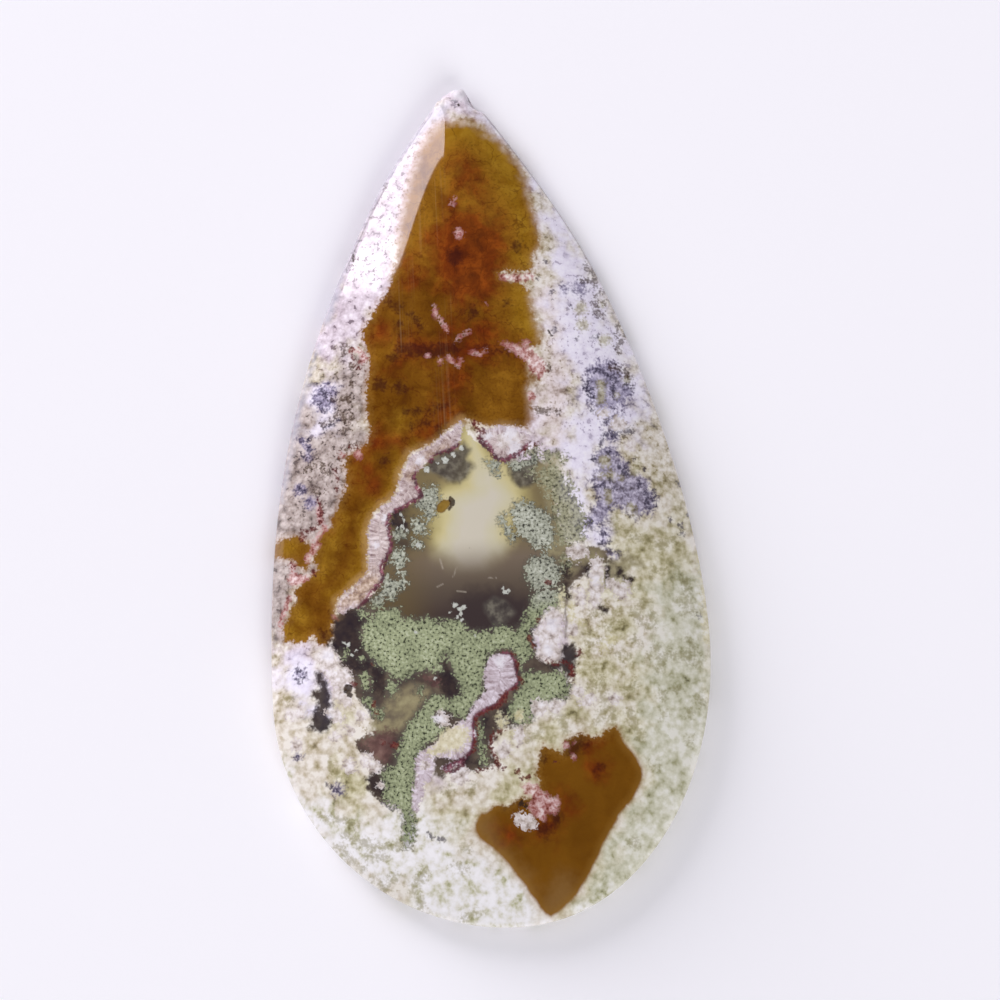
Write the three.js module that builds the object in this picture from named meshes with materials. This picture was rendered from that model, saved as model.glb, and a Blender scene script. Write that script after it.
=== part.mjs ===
// A long pear-shaped moss agate cabochon: one polished stone with a low dome over a flat back.
// Millimetres, +Z up. The back lies on Z = 0, the tip points along +Y, and the origin is the
// middle of the stone's box, on the back.

import * as THREE from "three";

// Driving dimensions
const LENGTH = 50;
const WIDTH = 25.6;
const THICKNESS = 5.5;
const GIRDLE_TOP = 1.4; // where the upright edge ends and the dome begins
const BACK_BEVEL = 0.45; // the ground corner between the girdle and the back
const CROWN = new THREE.Vector2(0.2, -6.5); // the highest place of the dome, seen from above

// The dome rises as (1 - share^SHOULDER)^FULLNESS, share being the way from the crown to the edge
const SHOULDER = 2.4;
const FULLNESS = 0.7;

// High on the dome the pear shape softens into an egg with these reaches from the crown
const EGG_SIDE = 12;
const EGG_TIP = 25;
const EGG_FOOT = 17;
const EGG_FADE = 3; // the larger, the nearer to the edge the egg already shows

// Two old chips off the tip: a flat break on each side of it, given by a point on the break
// and the direction that it faces
const CHIPS = [
  { at: new THREE.Vector3(0.42, 24.1, 1.0), facing: new THREE.Vector3(0.92, 0.3, 0.25) },
  { at: new THREE.Vector3(-0.72, 24.7, 1.1), facing: new THREE.Vector3(-0.45, 0.85, 0.3) },
];
const CHIP_REACH = 1.3; // a break ends this far from its point

// Fineness of the faceted solid
const STEPS_PER_CURVE = 20;
const STEPS_AT_TIP = 6;
const DOME_ROWS = 15;

const HALF_LENGTH = LENGTH / 2;
const HALF_WIDTH = WIDTH / 2;

// The outline seen from above, anticlockwise from the right of the tip. The tip is a small
// round end. Each side is then three smooth curves: the flank, the swell and the round foot.
// The left foot is flatter than the right.
const TIP_RIGHT = [0.62, 24.28];
const TIP_TOP = [-0.3, HALF_LENGTH];
const TIP_LEFT = [-1.2, 24.43];
const LEFT_SHOULDER = [-6.0, 17.2];
const LEFT_WIDEST = [-HALF_WIDTH, -11.45];
const FOOT = [0.8, -HALF_LENGTH];
const RIGHT_WIDEST = [HALF_WIDTH, -9.1];
const RIGHT_SHOULDER = [6.1, 15.85];

function outline() {
  const tip = new THREE.Path();
  tip.moveTo(...TIP_RIGHT);
  tip.bezierCurveTo(0.4, 24.66, 0.1, HALF_LENGTH, ...TIP_TOP);
  tip.bezierCurveTo(-0.68, HALF_LENGTH, -0.9, 24.78, ...TIP_LEFT);
  const sides = new THREE.Path();
  sides.moveTo(...TIP_LEFT);
  sides.bezierCurveTo(-2.15, 23.05, -4.45, 20.3, ...LEFT_SHOULDER);
  sides.bezierCurveTo(-9.6, 10.0, -HALF_WIDTH, 2.75, ...LEFT_WIDEST);
  sides.bezierCurveTo(-HALF_WIDTH, -18.45, -7.0, -HALF_LENGTH, ...FOOT);
  sides.bezierCurveTo(7.85, -HALF_LENGTH, HALF_WIDTH, -17.5, ...RIGHT_WIDEST);
  sides.bezierCurveTo(HALF_WIDTH, -0.45, 8.85, 10.9, ...RIGHT_SHOULDER);
  sides.bezierCurveTo(4.5, 18.75, 1.75, 22.9, ...TIP_RIGHT);
  return [...tip.getPoints(STEPS_AT_TIP), ...sides.getPoints(STEPS_PER_CURVE).slice(1)];
}

// The rows of the stone from the middle of the back to the crown. Each row is the outline
// drawn towards the crown to a share of its size, or set in from the edge by a distance.
function rows() {
  const list = [
    { share: 0, inset: 0, height: 0 },
    { share: 1, inset: BACK_BEVEL, height: 0 },
    { share: 1, inset: 0, height: BACK_BEVEL },
    { share: 1, inset: 0, height: GIRDLE_TOP },
  ];
  for (let row = 1; row <= DOME_ROWS; row += 1) {
    const turn = (row / DOME_ROWS) * (Math.PI / 2);
    const share = row === DOME_ROWS ? 0 : Math.cos(turn);
    const rise = (1 - share ** SHOULDER) ** FULLNESS;
    list.push({ share, inset: 0, height: GIRDLE_TOP + (THICKNESS - GIRDLE_TOP) * rise });
  }
  return list;
}

// The inward direction at a point of the outline, square to the chord between its neighbours.
function inward(edge, place) {
  const count = edge.length - 1;
  const before = edge[(place + count - 1) % count];
  const after = edge[(place + 1) % count];
  const chord = after.clone().sub(before).normalize();
  return new THREE.Vector2(-chord.y, chord.x);
}

// The reach of the egg from the crown, in the direction of an offset from the crown.
function eggReach(offset) {
  const along = offset.clone().normalize();
  return 1 / Math.hypot(along.x / EGG_SIDE, along.y / (along.y > 0 ? EGG_TIP : EGG_FOOT));
}

// Where a row of the dome crosses the meridian of an outline point.
function onRow(point, share) {
  const offset = point.clone().sub(CROWN);
  const pear = share ** EGG_FADE;
  const reach = offset.length() * pear + eggReach(offset) * (1 - pear);
  return offset.setLength(reach * share).add(CROWN);
}

// Presses what stands past a break at the tip back onto it.
function chipped(spot) {
  for (const { at, facing } of CHIPS) {
    const face = facing.clone().normalize();
    const past = spot.clone().sub(at).dot(face);
    if (past > 0 && spot.distanceTo(at) < CHIP_REACH) {
      spot.addScaledVector(face, -past);
    }
  }
  return spot;
}

// The stone starts as a turned blank of unit radius, one meridian for each point of the
// outline, and every ring of it is then drawn out to the pear shape.
function stoneGeometry() {
  const edge = outline();
  const profile = rows();
  const blank = profile.map((row) => new THREE.Vector2(row.share, row.height));
  const geometry = new THREE.LatheGeometry(blank, edge.length - 1);
  const position = geometry.attributes.position;
  edge.forEach((point, place) => {
    const side = inward(edge, place);
    profile.forEach((row, step) => {
      const flat = onRow(point, row.share).addScaledVector(side, row.inset);
      const spot = chipped(new THREE.Vector3(flat.x, flat.y, row.height));
      position.setXYZ(place * profile.length + step, ...spot);
    });
  });
  geometry.computeVertexNormals();
  return geometry;
}

const polishedAgate = new THREE.MeshStandardMaterial({
  name: "polished_agate",
  color: 0xbfb59f,
  roughness: 0.12,
  metalness: 0,
});

const cabochon = new THREE.Mesh(stoneGeometry(), polishedAgate);
cabochon.name = "cabochon";

const part = new THREE.Group();
part.name = "moss_agate_cabochon";
part.add(cabochon);

export default part;
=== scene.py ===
"""A moss agate cabochon lying on its flat back on a pale table, seen from above.

The stone is one polished piece. Its moss, crusts and amber are colour inside the stone, so they
are drawn as areas on the photograph's picture plane, laid onto the mesh through the same camera
as distances to their edges, and coloured in the material.
"""

# Some drawn markings are painted light and shade: the bright and dark seen through the clear
# window, the dark gaps and the field around the moss, a sheen on the left rim, a faint reflection
# on the amber's polishing lines, the amber's lighter edges, and dark edge lines on the upper rims.
import logging
import math
from dataclasses import dataclass
from enum import Enum

import bmesh
import bpy
import numpy as np
from mathutils import Matrix, Quaternion, Vector


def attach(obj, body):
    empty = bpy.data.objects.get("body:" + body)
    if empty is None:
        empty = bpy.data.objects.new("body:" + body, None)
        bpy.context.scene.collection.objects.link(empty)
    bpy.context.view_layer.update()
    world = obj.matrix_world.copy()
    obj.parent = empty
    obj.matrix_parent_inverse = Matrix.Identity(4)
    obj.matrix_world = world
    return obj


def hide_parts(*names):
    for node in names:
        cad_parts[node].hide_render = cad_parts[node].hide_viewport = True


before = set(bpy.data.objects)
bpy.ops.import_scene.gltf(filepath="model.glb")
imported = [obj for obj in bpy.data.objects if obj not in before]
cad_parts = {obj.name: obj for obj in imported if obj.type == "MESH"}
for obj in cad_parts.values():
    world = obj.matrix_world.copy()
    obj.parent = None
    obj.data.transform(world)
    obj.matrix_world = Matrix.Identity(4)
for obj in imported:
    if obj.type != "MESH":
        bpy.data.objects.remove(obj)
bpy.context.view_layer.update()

MM = 0.001
LOG = logging.getLogger("cabochon")

Rgb = tuple[int, int, int]
Tones = tuple[Rgb, ...]
Point = tuple[float, float]
Place = tuple[float, float, float]
Span = tuple[float, float]

# A depth far outside every marking, and a distance past every line, both in pixels.
OUTSIDE = -1e4
FAR = 1e9
# Nearly all values of a noise lie between these two.
NOISE_RANGE: Span = (0.28, 0.72)


# The view


@dataclass(frozen=True)
class PictureView:
    """The photograph's view of the stone: a long lens looking down on it, tilted to its foot.

    The picture is square, its side in pixels. Lens, sensor, aim and distance are in millimetres,
    tilt and roll in degrees, and what lies nearer than near or past far, in metres, isn't seen.
    """

    lens: float = 120.0
    sensor: float = 36.0
    side: float = 1000.0
    aim: Place = (1.043, -0.120, 1.4)
    distance: float = 195.5
    tilt: float = 9.0
    roll: float = 3.18
    near: float = 0.01
    far: float = 50.0

    @property
    def pixels_per_mm(self) -> float:
        """Scale of the picture where the stone lies."""
        return self.lens / self.sensor * self.side / self.distance

    def axes(self) -> tuple[np.ndarray, np.ndarray, np.ndarray]:
        """Finds the directions of the unrolled view.

        Returns:
            Its right, its up and its backward direction.
        """
        lean = math.radians(self.tilt)
        up = np.array([0.0, math.cos(lean), math.sin(lean)])
        back = np.array([0.0, -math.sin(lean), math.cos(lean)])
        return np.array([1.0, 0.0, 0.0]), up, back

    def pixels(self, points: np.ndarray) -> np.ndarray:
        """Where points of the stone fall in the picture.

        Args:
            points: Places in millimetres, one row each.

        Returns:
            Pixel places, x to the right and y downwards, one row each.
        """
        right, up, back = self.axes()
        offset = points - np.array(self.aim)
        depth = self.distance - offset @ back
        scale = self.lens / self.sensor * self.side / depth
        across, along = offset @ right * scale, offset @ up * scale
        turn = math.radians(self.roll)
        x = across * math.cos(turn) - along * math.sin(turn)
        y = across * math.sin(turn) + along * math.cos(turn)
        return np.stack([self.side / 2 + x, self.side / 2 - y], axis=1)

    def make_camera(self) -> bpy.types.Object:
        """Creates the camera of this view and makes it the scene's camera.

        Returns:
            The camera.
        """
        data = bpy.data.cameras.new("view")
        data.lens = self.lens
        data.sensor_width = self.sensor
        data.clip_start = self.near
        data.clip_end = self.far
        camera = bpy.data.objects.new("view", data)
        bpy.context.scene.collection.objects.link(camera)
        right, up, back = self.axes()
        turn = math.radians(self.roll)
        side = right * math.cos(turn) - up * math.sin(turn)
        top = right * math.sin(turn) + up * math.cos(turn)
        matrix = Matrix((side, top, back)).transposed().to_4x4()
        matrix.translation = Vector((np.array(self.aim) + back * self.distance) * MM)
        camera.matrix_world = matrix
        bpy.context.scene.camera = camera
        return camera


# The drawn markings


def trace(text: str) -> np.ndarray:
    """Reads drawn picture places, such as "448,127 472,120", one row each."""
    return np.array([[float(n) for n in place.split(",")] for place in text.split()])


@dataclass(frozen=True)
class Drawing:
    """One kind of marking, drawn in pixels of the picture.

    Areas are closed outlines. A stroke is "half width: places". Spots are "x,y,radius" places.
    """

    areas: tuple[str, ...] = ()
    strokes: tuple[str, ...] = ()
    spots: str = ""

    def depth(self, pixels: np.ndarray) -> np.ndarray:
        """Distance inside the marking's edge, in pixels.

        Args:
            pixels: Picture places, one row each.

        Returns:
            One number for each place, negative outside the marking.
        """
        best = np.full(len(pixels), OUTSIDE)
        for text in self.areas:
            outline = trace(text)
            away, _ = nearest(pixels, np.vstack([outline, outline[:1]]))
            best = np.maximum(best, np.where(inside(pixels, outline), away, -away))
        for text in self.strokes:
            width, places = text.split(":")
            away, _ = nearest(pixels, trace(places))
            best = np.maximum(best, float(width) - away)
        for x, y, radius in trace(self.spots) if self.spots else ():
            away = np.hypot(pixels[:, 0] - x, pixels[:, 1] - y)
            best = np.maximum(best, radius - away)
        return best

    def run(self, pixels: np.ndarray) -> np.ndarray:
        """How far along its area's outline the nearest edge lies.

        Args:
            pixels: Picture places, one row each.

        Returns:
            One length in pixels for each place.
        """
        best = np.full(len(pixels), FAR)
        run = np.zeros(len(pixels))
        for text in self.areas:
            outline = trace(text)
            away, along = nearest(pixels, np.vstack([outline, outline[:1]]))
            run = np.where(away < best, along, run)
            best = np.minimum(best, away)
        return run


def nearest(pixels: np.ndarray, line: np.ndarray) -> tuple[np.ndarray, np.ndarray]:
    """Measures places against a line of straight pieces.

    Args:
        pixels: The places, one row each.
        line: The corners of the line, one row each.

    Returns:
        The distance to the line, and how far along the line the nearest spot of it lies.
    """
    best = np.full(len(pixels), FAR)
    along = np.zeros(len(pixels))
    gone = 0.0
    for start, end in zip(line[:-1], line[1:]):
        piece = end - start
        length = float(np.hypot(*piece))
        share = np.clip((pixels - start) @ piece / max(length, 1e-9) ** 2, 0, 1)
        away = np.hypot(*(pixels - start - share[:, None] * piece).T)
        along = np.where(away < best, gone + share * length, along)
        best = np.minimum(best, away)
        gone += length
    return best, along


def inside(pixels: np.ndarray, outline: np.ndarray) -> np.ndarray:
    """Tells whether places lie inside a closed outline.

    Args:
        pixels: The places, one row each.
        outline: The corners of the outline, one row each.

    Returns:
        True or false for each place.
    """
    within = np.zeros(len(pixels), bool)
    x, y = pixels[:, 0], pixels[:, 1]
    for start, end in zip(outline, np.roll(outline, -1, axis=0)):
        if start[1] == end[1]:
            continue
        crosses = (start[1] > y) != (end[1] > y)
        reach = (end[0] - start[0]) * (y - start[1]) / (end[1] - start[1]) + start[0]
        within ^= crosses & (x < reach)
    return within


class Mark(Enum):
    """The kinds of marking in the stone.

    Rose, lilac, sage, pale, peach and beige are tints of the crystal mass, and dotted is where it
    has more dark dots. Ember, shade and fade lie in the amber, with its yellow, partly painted
    light shining through thin edges, and polishing lines painted with a faint reflection. The
    window holds painted light above, painted shade below, and murk. Frost and tan colour parts of
    the moss and the crust, and rim is where the crust has a dark seam. Painted shade, seen through
    the clear stone, also fills the dark gaps and the field around the moss; a painted sheen runs
    along the left rim, and the fine veins include painted dark edge lines along the upper rims.
    """

    ROSE = "rose"
    LILAC = "lilac"
    SAGE = "sage"
    PALE = "pale"
    PEACH = "peach"
    DOTTED = "dotted"
    OLIVE = "olive"
    AMBER = "amber"
    # Yellow amber, partly its own colour and partly painted light shining through thin edges.
    GOLD_GLOW = "gold_glow"
    EMBER = "ember"
    SHADE = "shade"
    BLUSH = "blush"
    WINDOW = "window"
    # Painted light: the brightness seen through the upper clear window.
    PAINTED_GLOW = "painted_glow"
    # Painted shade: the dark seen through the bottom of the clear window.
    PAINTED_DUSK_SHADE = "painted_dusk_shade"
    MURK = "murk"
    # Dark clear gaps, their colour painted shade seen through the stone.
    PAINTED_SHADE_GAP = "painted_shade_gap"
    HAZE = "haze"
    # Painted shade: the dark field around the moss, seen through the clear stone.
    PAINTED_SEE_THROUGH_SHADE = "painted_see_through_shade"
    # Fine dark veins, and painted dark edge lines where the upper rims mirror dark.
    VEIN_AND_EDGE_SHADE = "vein_and_edge_shade"
    FADE = "fade"
    MOSS = "moss"
    CRUST = "crust"
    TUFT = "tuft"
    RIM = "rim"
    BLOOD = "blood"
    VIOLET = "violet"
    INK = "ink"
    EYE = "eye"
    CRYSTAL = "crystal"
    UMBER = "umber"
    CRUMB = "crumb"
    # Polishing lines in the amber, painted lighter as a faint reflection along the highlight's
    # edge.
    STREAK_SHEEN = "streak_sheen"
    NUGGET = "nugget"
    RUST = "rust"
    PIT = "pit"
    BEIGE = "beige"
    FROST = "frost"
    TAN = "tan"
    LICHEN = "lichen"
    BUTTER = "butter"
    # Painted sheen: the soft reflection and glassy see-through look of the thin left rim.
    MARGIN_SHEEN = "margin_sheen"
    SCRATCH = "scratch"


DRAWINGS: dict[Mark, Drawing] = {
    Mark.ROSE: Drawing(
        areas=(
            "455,80 400,130 350,230 312,335 308,358 330,362 348,348 372,330 398,290 404,240 "
            "440,140",
            "432,80 482,80 486,116 470,122 440,120",
        ),
        spots="545,635,24 470,745,22 430,765,16 520,440,26 330,680,16 300,660,20",
    ),
    Mark.LILAC: Drawing(
        areas=(
            "480,105 540,180 600,290 640,370 640,440 612,440 590,480 592,540 575,540 562,470 "
            "577,380 557,330 547,240 520,160",
        ),
        strokes=("7: 586,435 588,470 583,505 592,530 600,540", "4: 318,412 322,424"),
        spots="322,400,8 300,680,20 318,710,8",
    ),
    Mark.SAGE: Drawing(
        areas=(
            "655,590 715,560 715,760 690,830 640,890 580,930 575,910 612,840 650,780 640,735 "
            "648,660",
        ),
    ),
    Mark.PALE: Drawing(
        areas=(
            "430,850 480,860 530,905 560,925 500,940 420,925 400,880",
            "262,740 285,770 312,800 345,820 385,818 420,810 450,828 470,850 440,870 400,885 "
            "360,880 320,850 285,810",
        ),
        spots="500,895,28 470,880,20 590,915,12 610,905,8",
    ),
    Mark.PEACH: Drawing(
        areas=(
            "541,262 556,280 566,305 574,335 578,360 572,385 568,420 572,445 556,450 540,440 "
            "533,428 534,400 544,386 546,352 546,330 536,300",
        ),
    ),
    Mark.DOTTED: Drawing(
        areas=(
            "375,345 350,345 325,380 300,440 290,520 315,530 340,480 350,450 362,430",
            "440,112 400,148 368,205 346,250 338,285 372,292 396,262 410,218 428,170 446,126",
            "545,330 575,300 600,300 640,390 640,430 600,440 560,430 540,400",
            "300,650 330,640 385,700 380,760 345,770 318,720",
        ),
    ),
    Mark.OLIVE: Drawing(
        strokes=(
            "2: 322,817 330,818",
            "3: 340,820 352,826 345,836 360,842 380,848 398,846 406,838 412,846",
            "2.5: 338,846 350,858 356,864",
            "3: 368,856 382,856",
            "3.5: 425,872 418,880 412,892",
            "2.5: 420,900 424,910",
            "2: 455,866 468,869",
            "2.5: 374,882 388,888",
            "2.2: 604,605 600,612 592,616",
            "2: 610,630 612,624 618,622",
            "2.4: 566,606 566,632",
            "2.6: 596,672 600,680 606,700 604,712 598,714",
            "3: 604,700 612,712 612,722",
            "3: 628,690 634,686",
            "3: 630,712 634,724 640,736",
            "2: 586,690 592,684 600,684",
            "3: 520,722 528,740 540,732",
            "3: 632,536 645,540 660,546 672,540",
            "2.4: 640,602 645,604",
            "2: 648,618 654,616",
            "3: 684,580 688,600 684,612",
            "3: 660,656 680,654 692,660 700,662",
            "2: 470,790 474,786",
            "3: 446,792 452,788",
            "2: 636,468 636,474",
            "2.2: 612,708 598,722",
            "2.4: 330,762 338,776 342,790",
            "3: 634,612 642,622 652,626",
            "3: 655,648 664,658 660,668",
            "3: 552,712 562,720 566,730",
            "2.6: 300,826 312,836",
            "2: 462,918 478,912",
        ),
        spots=(
            "288,700,3 384,856,4 393,877,4 328,818,4 362,870,3 636,640,4 628,658,3 662,695,4 "
            "676,690,3 664,715,3 690,712,3 655,765,3 690,740,3 634,843,4 640,606,3 680,599,3 "
            "692,612,3 689,640,3 693,651,2.5 620,654,2.5 612,645,2.5 600,642,2.5 590,645,3 "
            "650,655,2.5 660,660,2.5 616,612,2.5 631,588,2.5 663,570,3 654,571,3 660,486,2.5 "
            "626,690,3 606,560,3 700,700,5 466,848,4"
        ),
    ),
    Mark.AMBER: Drawing(
        areas=(
            "448,127 458,122 466,119 474,121 484,128 492,136 502,144 510,153 517,159 522,166 "
            "526,177 528,188 531,200 533,211 536,222 538,233 540,243 537,250 531,256 533,264 "
            "531,271 520,272 505,271 500,274 505,279 516,282 526,285 529,292 530,303 533,313 "
            "536,322 540,333 542,343 533,346 527,351 529,360 530,372 541,374 541,379 530,384 "
            "527,391 531,400 531,412 530,420 528,427 515,427 500,426 488,427 480,424 470,420 "
            "463,421 455,425 447,431 440,438 430,445 420,449 411,453 406,462 402,470 399,480 "
            "397,490 390,500 380,506 374,514 370,521 368,532 369,545 368,560 369,572 361,580 "
            "352,588 341,597 337,604 335,611 337,617 333,627 334,636 326,646 318,644 314,636 "
            "306,643 296,643 286,642 282,634 283,627 287,620 290,611 296,601 293,590 303,581 "
            "311,575 318,570 312,560 317,550 317,541 322,531 330,528 332,518 338,508 341,498 "
            "345,490 347,478 344,466 346,456 358,450 366,443 371,430 366,418 367,405 365,393 "
            "367,380 370,365 367,350 363,340 362,330 370,318 377,305 388,291 392,275 396,262 "
            "404,246 411,233 418,213 425,193 431,175 440,150",
            "270,549 276,543 285,538 294,536 302,539 311,543 314,551 307,558 309,568 303,571 "
            "293,561 284,559 274,558",
            "543,744 549,748 556,750 562,753 563,744 567,739 574,736 581,733 588,735 595,737 "
            "602,735 604,730 609,728 616,727 620,732 623,740 628,747 633,752 638,760 642,768 "
            "643,776 640,785 636,793 632,801 625,808 619,815 616,823 611,830 607,838 602,846 "
            "599,856 594,864 591,872 586,880 581,888 577,895 570,902 563,909 556,914 551,917 "
            "546,914 540,908 536,901 530,894 525,885 517,876 510,866 503,858 496,851 488,845 "
            "480,839 475,830 475,823 479,817 481,813 487,813 492,808 496,805 508,806 515,801 "
            "522,797 530,798 537,790 540,782 536,774 538,762 540,752",
            "465,119 436,124 425,136 417,152 411,170 406,190 402,212 398,235 396,262 415,262 "
            "450,200 475,140",
        ),
        strokes=("3: 439,509 446,503",),
    ),
    # Yellow amber, partly its own colour and partly painted light shining through thin edges.
    Mark.GOLD_GLOW: Drawing(
        strokes=(
            "11: 452,131 468,128 484,140 500,152",
            "12: 494,150 504,168 512,186",
            "7: 512,186 519,210 527,240",
            "12: 522,294 526,315 531,335",
            "8: 398,482 388,498 376,510",
            "4: 363,530 363,560 352,582 338,594",
            "8: 280,551 290,546",
            "6: 284,632 296,640",
            "9: 482,826 494,844 512,868 528,892",
            "12: 551,908 566,888",
            "5: 400,420 395,450",
            "7: 513,255 528,262",
            "6: 416,452 404,462 396,486",
            "6: 374,512 365,524 364,560 354,580 336,596",
            "5: 340,520 332,540 322,572",
            "4: 296,612 306,622",
        ),
    ),
    Mark.EMBER: Drawing(
        areas=(
            "432,228 452,212 476,206 500,216 508,240 506,268 500,296 482,306 456,302 438,286 "
            "428,262",
        ),
        strokes=(
            "9: 402,346 430,349 462,351 500,346 520,350",
            "6: 370,440 385,442 398,440",
            "9: 461,165 470,182 478,196",
            "8: 450,330 470,328 490,336",
            "8: 455,380 445,400 440,425 430,434",
        ),
        spots=(
            "384,332,9 493,225,6 462,240,18 440,262,9 404,262,6 426,272,6 411,278,6 468,287,9 "
            "486,289,6 430,237,8 375,487,6 360,455,7 508,836,8 562,806,9 548,826,12 598,769,8 "
            "590,745,10 361,368,6 380,296,7 364,468,8 325,520,6 470,340,8 398,365,6 452,205,8 "
            "480,345,5"
        ),
    ),
    Mark.SHADE: Drawing(
        areas=("562,754 563,744 567,739 574,736 581,733 586,737 587,745 582,752 576,756 568,757",),
        strokes=(
            "6.5: 404,348 425,351 452,350",
            "2.4: 478,347 500,349 516,352",
            "3: 505,806 515,804 524,799 534,800",
            "2.5: 389,294 386,300 393,305 400,308",
            "2: 411,314 416,320 420,327",
            "2.5: 398,325 399,332",
            "2: 405,412 430,410 448,404",
            "2: 412,426 428,422",
        ),
        spots=(
            "472,312,6 394,357,5 518,246,5 325,637,7 333,628,5 455,257,8 545,830,7 556,818,6 "
            "507,303,2 380,385,6 400,388,5 442,432,6 384,460,4 524,775,6 532,771,5 346,460,4 "
            "598,769,4 541,757,5 342,497,4 336,612,3"
        ),
    ),
    Mark.BLUSH: Drawing(
        areas=(
            "521,785 528,780 538,784 541,791 548,792 550,797 557,796 561,801 559,808 555,815 "
            "548,812 545,821 538,819 530,812 529,803 533,798 525,794",
            "291,571 302,576 312,573 309,578 300,585 292,586 288,580",
            "497,274 510,275 533,274 533,279 515,281 502,280",
            "500,342 512,344 524,346 534,352 542,360 547,370 541,378 532,373 527,363 516,354 "
            "506,348",
        ),
        strokes=(
            "2: 434,307 435,314 440,320 447,330",
            "1.6: 456,340 463,334 469,331",
            "1.6: 448,356 453,363 458,367 461,360",
            "1.8: 472,352 480,354 486,350",
            "2.2: 318,545 311,553 307,560",
            "2: 318,508 320,520 326,528 318,535 313,545",
            "2: 290,598 285,610 280,625",
            "2: 350,352 358,350 366,357 360,362",
        ),
        spots=(
            "530,352,5 537,363,4 526,343,3.5 531,396,4 428,356,2.6 440,361,3 452,204,2.4 "
            "455,198,2 459,233,5 486,305,1 566,746,3.5 "
            "573,757,2.5 358,455,4 292,566,3 360,352,3 342,455,3 575,742,1 475,424,2 335,617,2"
        ),
    ),
    Mark.WINDOW: Drawing(
        areas=(
            "467,436 474,442 482,447 490,450 494,460 505,462 512,464 535,460 548,470 553,500 "
            "556,520 560,540 575,548 592,548 604,552 606,562 594,560 580,565 568,582 552,585 "
            "540,597 530,612 515,628 490,634 470,634 455,626 430,626 405,622 385,612 368,606 "
            "372,598 380,588 384,575 384,565 391,552 390,545 391,532 389,518 402,508 420,500 "
            "424,492 415,480 417,473 431,461 434,455 448,450 459,445 461,436 464,428",
        ),
    ),
    # Painted light: where the clear window looks bright from light seen through it.
    Mark.PAINTED_GLOW: Drawing(
        areas=(
            "456,436 464,422 482,428 494,446 508,458 520,468 530,486 530,510 518,532 504,556 "
            "488,578 456,578 438,560 428,535 432,512 430,492 444,482 460,474 462,462",
        ),
    ),
    # Painted shade: the dark field around the moss, seen through the clear stone.
    Mark.PAINTED_SEE_THROUGH_SHADE: Drawing(
        areas=(
            "337,612 360,600 400,608 470,622 530,600 560,572 580,560 602,556 600,564 575,582 "
            "560,602 545,612 535,630 536,655 560,672 570,685 565,700 540,704 520,726 500,730 "
            "490,745 497,765 470,772 430,778 436,757 470,750 474,735 466,722 440,745 418,760 "
            "414,798 410,812 400,806 380,800 366,790 372,772 385,766 360,752 356,742 "
            "376,730 372,716 358,700 352,680 338,664 334,645 328,632",
        ),
    ),
    # The first two lines are painted dark edge lines, where the upper rims mirror dark; the third
    # is a real dark line in the stone.
    Mark.VEIN_AND_EDGE_SHADE: Drawing(
        strokes=(
            "0.9: 475,103 497,130 520,160 536,181 551,201 566,224 580,246 590,264 598,282",
            "0.8: 345,272 354,252 362,234 372,212 384,190",
            "1.1: 567,600 565,612 567,622 565,638",
        ),
    ),
    Mark.FADE: Drawing(
        areas=(
            "420,146 432,112 455,100 478,104 505,135 530,172 548,215 554,250 542,256 532,215 "
            "514,178 492,148 472,134 455,136 446,150",
            "440,118 418,126 402,150 393,190 387,235 385,264 399,264 405,240 411,212 418,186 "
            "426,160 436,140",
        ),
        strokes=(
            "5: 541,250 537,262",
            "6: 534,296 540,335",
            "5: 531,370 532,425",
        ),
    ),
    # Painted shade: the darkest part seen through the bottom of the clear window.
    Mark.PAINTED_DUSK_SHADE: Drawing(
        areas=("452,600 470,590 500,588 515,594 530,600 526,620 505,632 480,636 462,624",),
        strokes=("5: 395,540 405,545", "4: 402,512 404,530"),
    ),
    Mark.MURK: Drawing(
        areas=(
            "422,474 431,460 445,452 458,448 464,440 470,450 468,458 474,466 468,475 460,484 "
            "450,482 438,475",
            "508,464 512,482 520,488 530,487 536,480 537,462 522,458",
            "484,604 494,597 506,602 514,612 508,622 494,624 486,614",
        ),
    ),
    # Dark clear gaps, their colour painted shade seen through the stone.
    Mark.PAINTED_SHADE_GAP: Drawing(
        areas=(
            "336,613 348,607 360,612 369,620 362,632 365,650 372,665 368,680 358,670 348,664 "
            "340,660 334,648 326,646 334,636 333,627",
            "315,673 322,672 327,680 330,692 332,704 329,712 333,722 327,731 316,732 308,728 "
            "313,716 317,705 312,695 318,688",
            "438,666 446,657 450,668 457,678 462,694 455,700 446,697 440,690 432,682",
            "366,778 376,771 384,776 386,788 385,798 376,797 370,790",
            "390,508 402,510 405,525 403,538 396,530 391,522",
            "373,655 384,668 388,680 386,692 378,700 372,690 370,676",
            "560,562 569,562 571,572 567,582 562,578",
            "545,664 560,660 562,645 574,643 578,652 576,666 573,680 567,680 562,670 546,674",
        ),
        strokes=(
            "1.6: 417,630 420,640 423,652",
            "2.4: 566,582 567,592 565,602",
            "2.5: 500,716 512,704",
            "2: 607,562 608,573 606,583",
            "1.6: 587,566 588,577",
            "2.2: 600,606 606,611",
        ),
        spots=(
            "346,690,4 480,763,5 466,759,4 484,722,4 567,597,4 448,690,6 404,525,4 515,694,3 "
            "620,573,4.5 625,576,2.4 631,579,2.6"
        ),
    ),
    Mark.HAZE: Drawing(
        areas=(
            "411,685 424,686 432,692 422,705 412,717 404,729 392,734 376,733 364,730 370,722 "
            "380,712 385,703 392,694",
            "536,466 548,460 557,452 562,462 557,478 552,500 557,522 562,540 578,549 600,549 "
            "606,560 592,562 580,566 570,580 560,580 553,560 541,552 548,520 545,500 538,484",
            "607,560 622,557 638,560 642,566 632,570 626,582 614,578 607,586",
        ),
    ),
    Mark.UMBER: Drawing(
        areas=(
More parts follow.
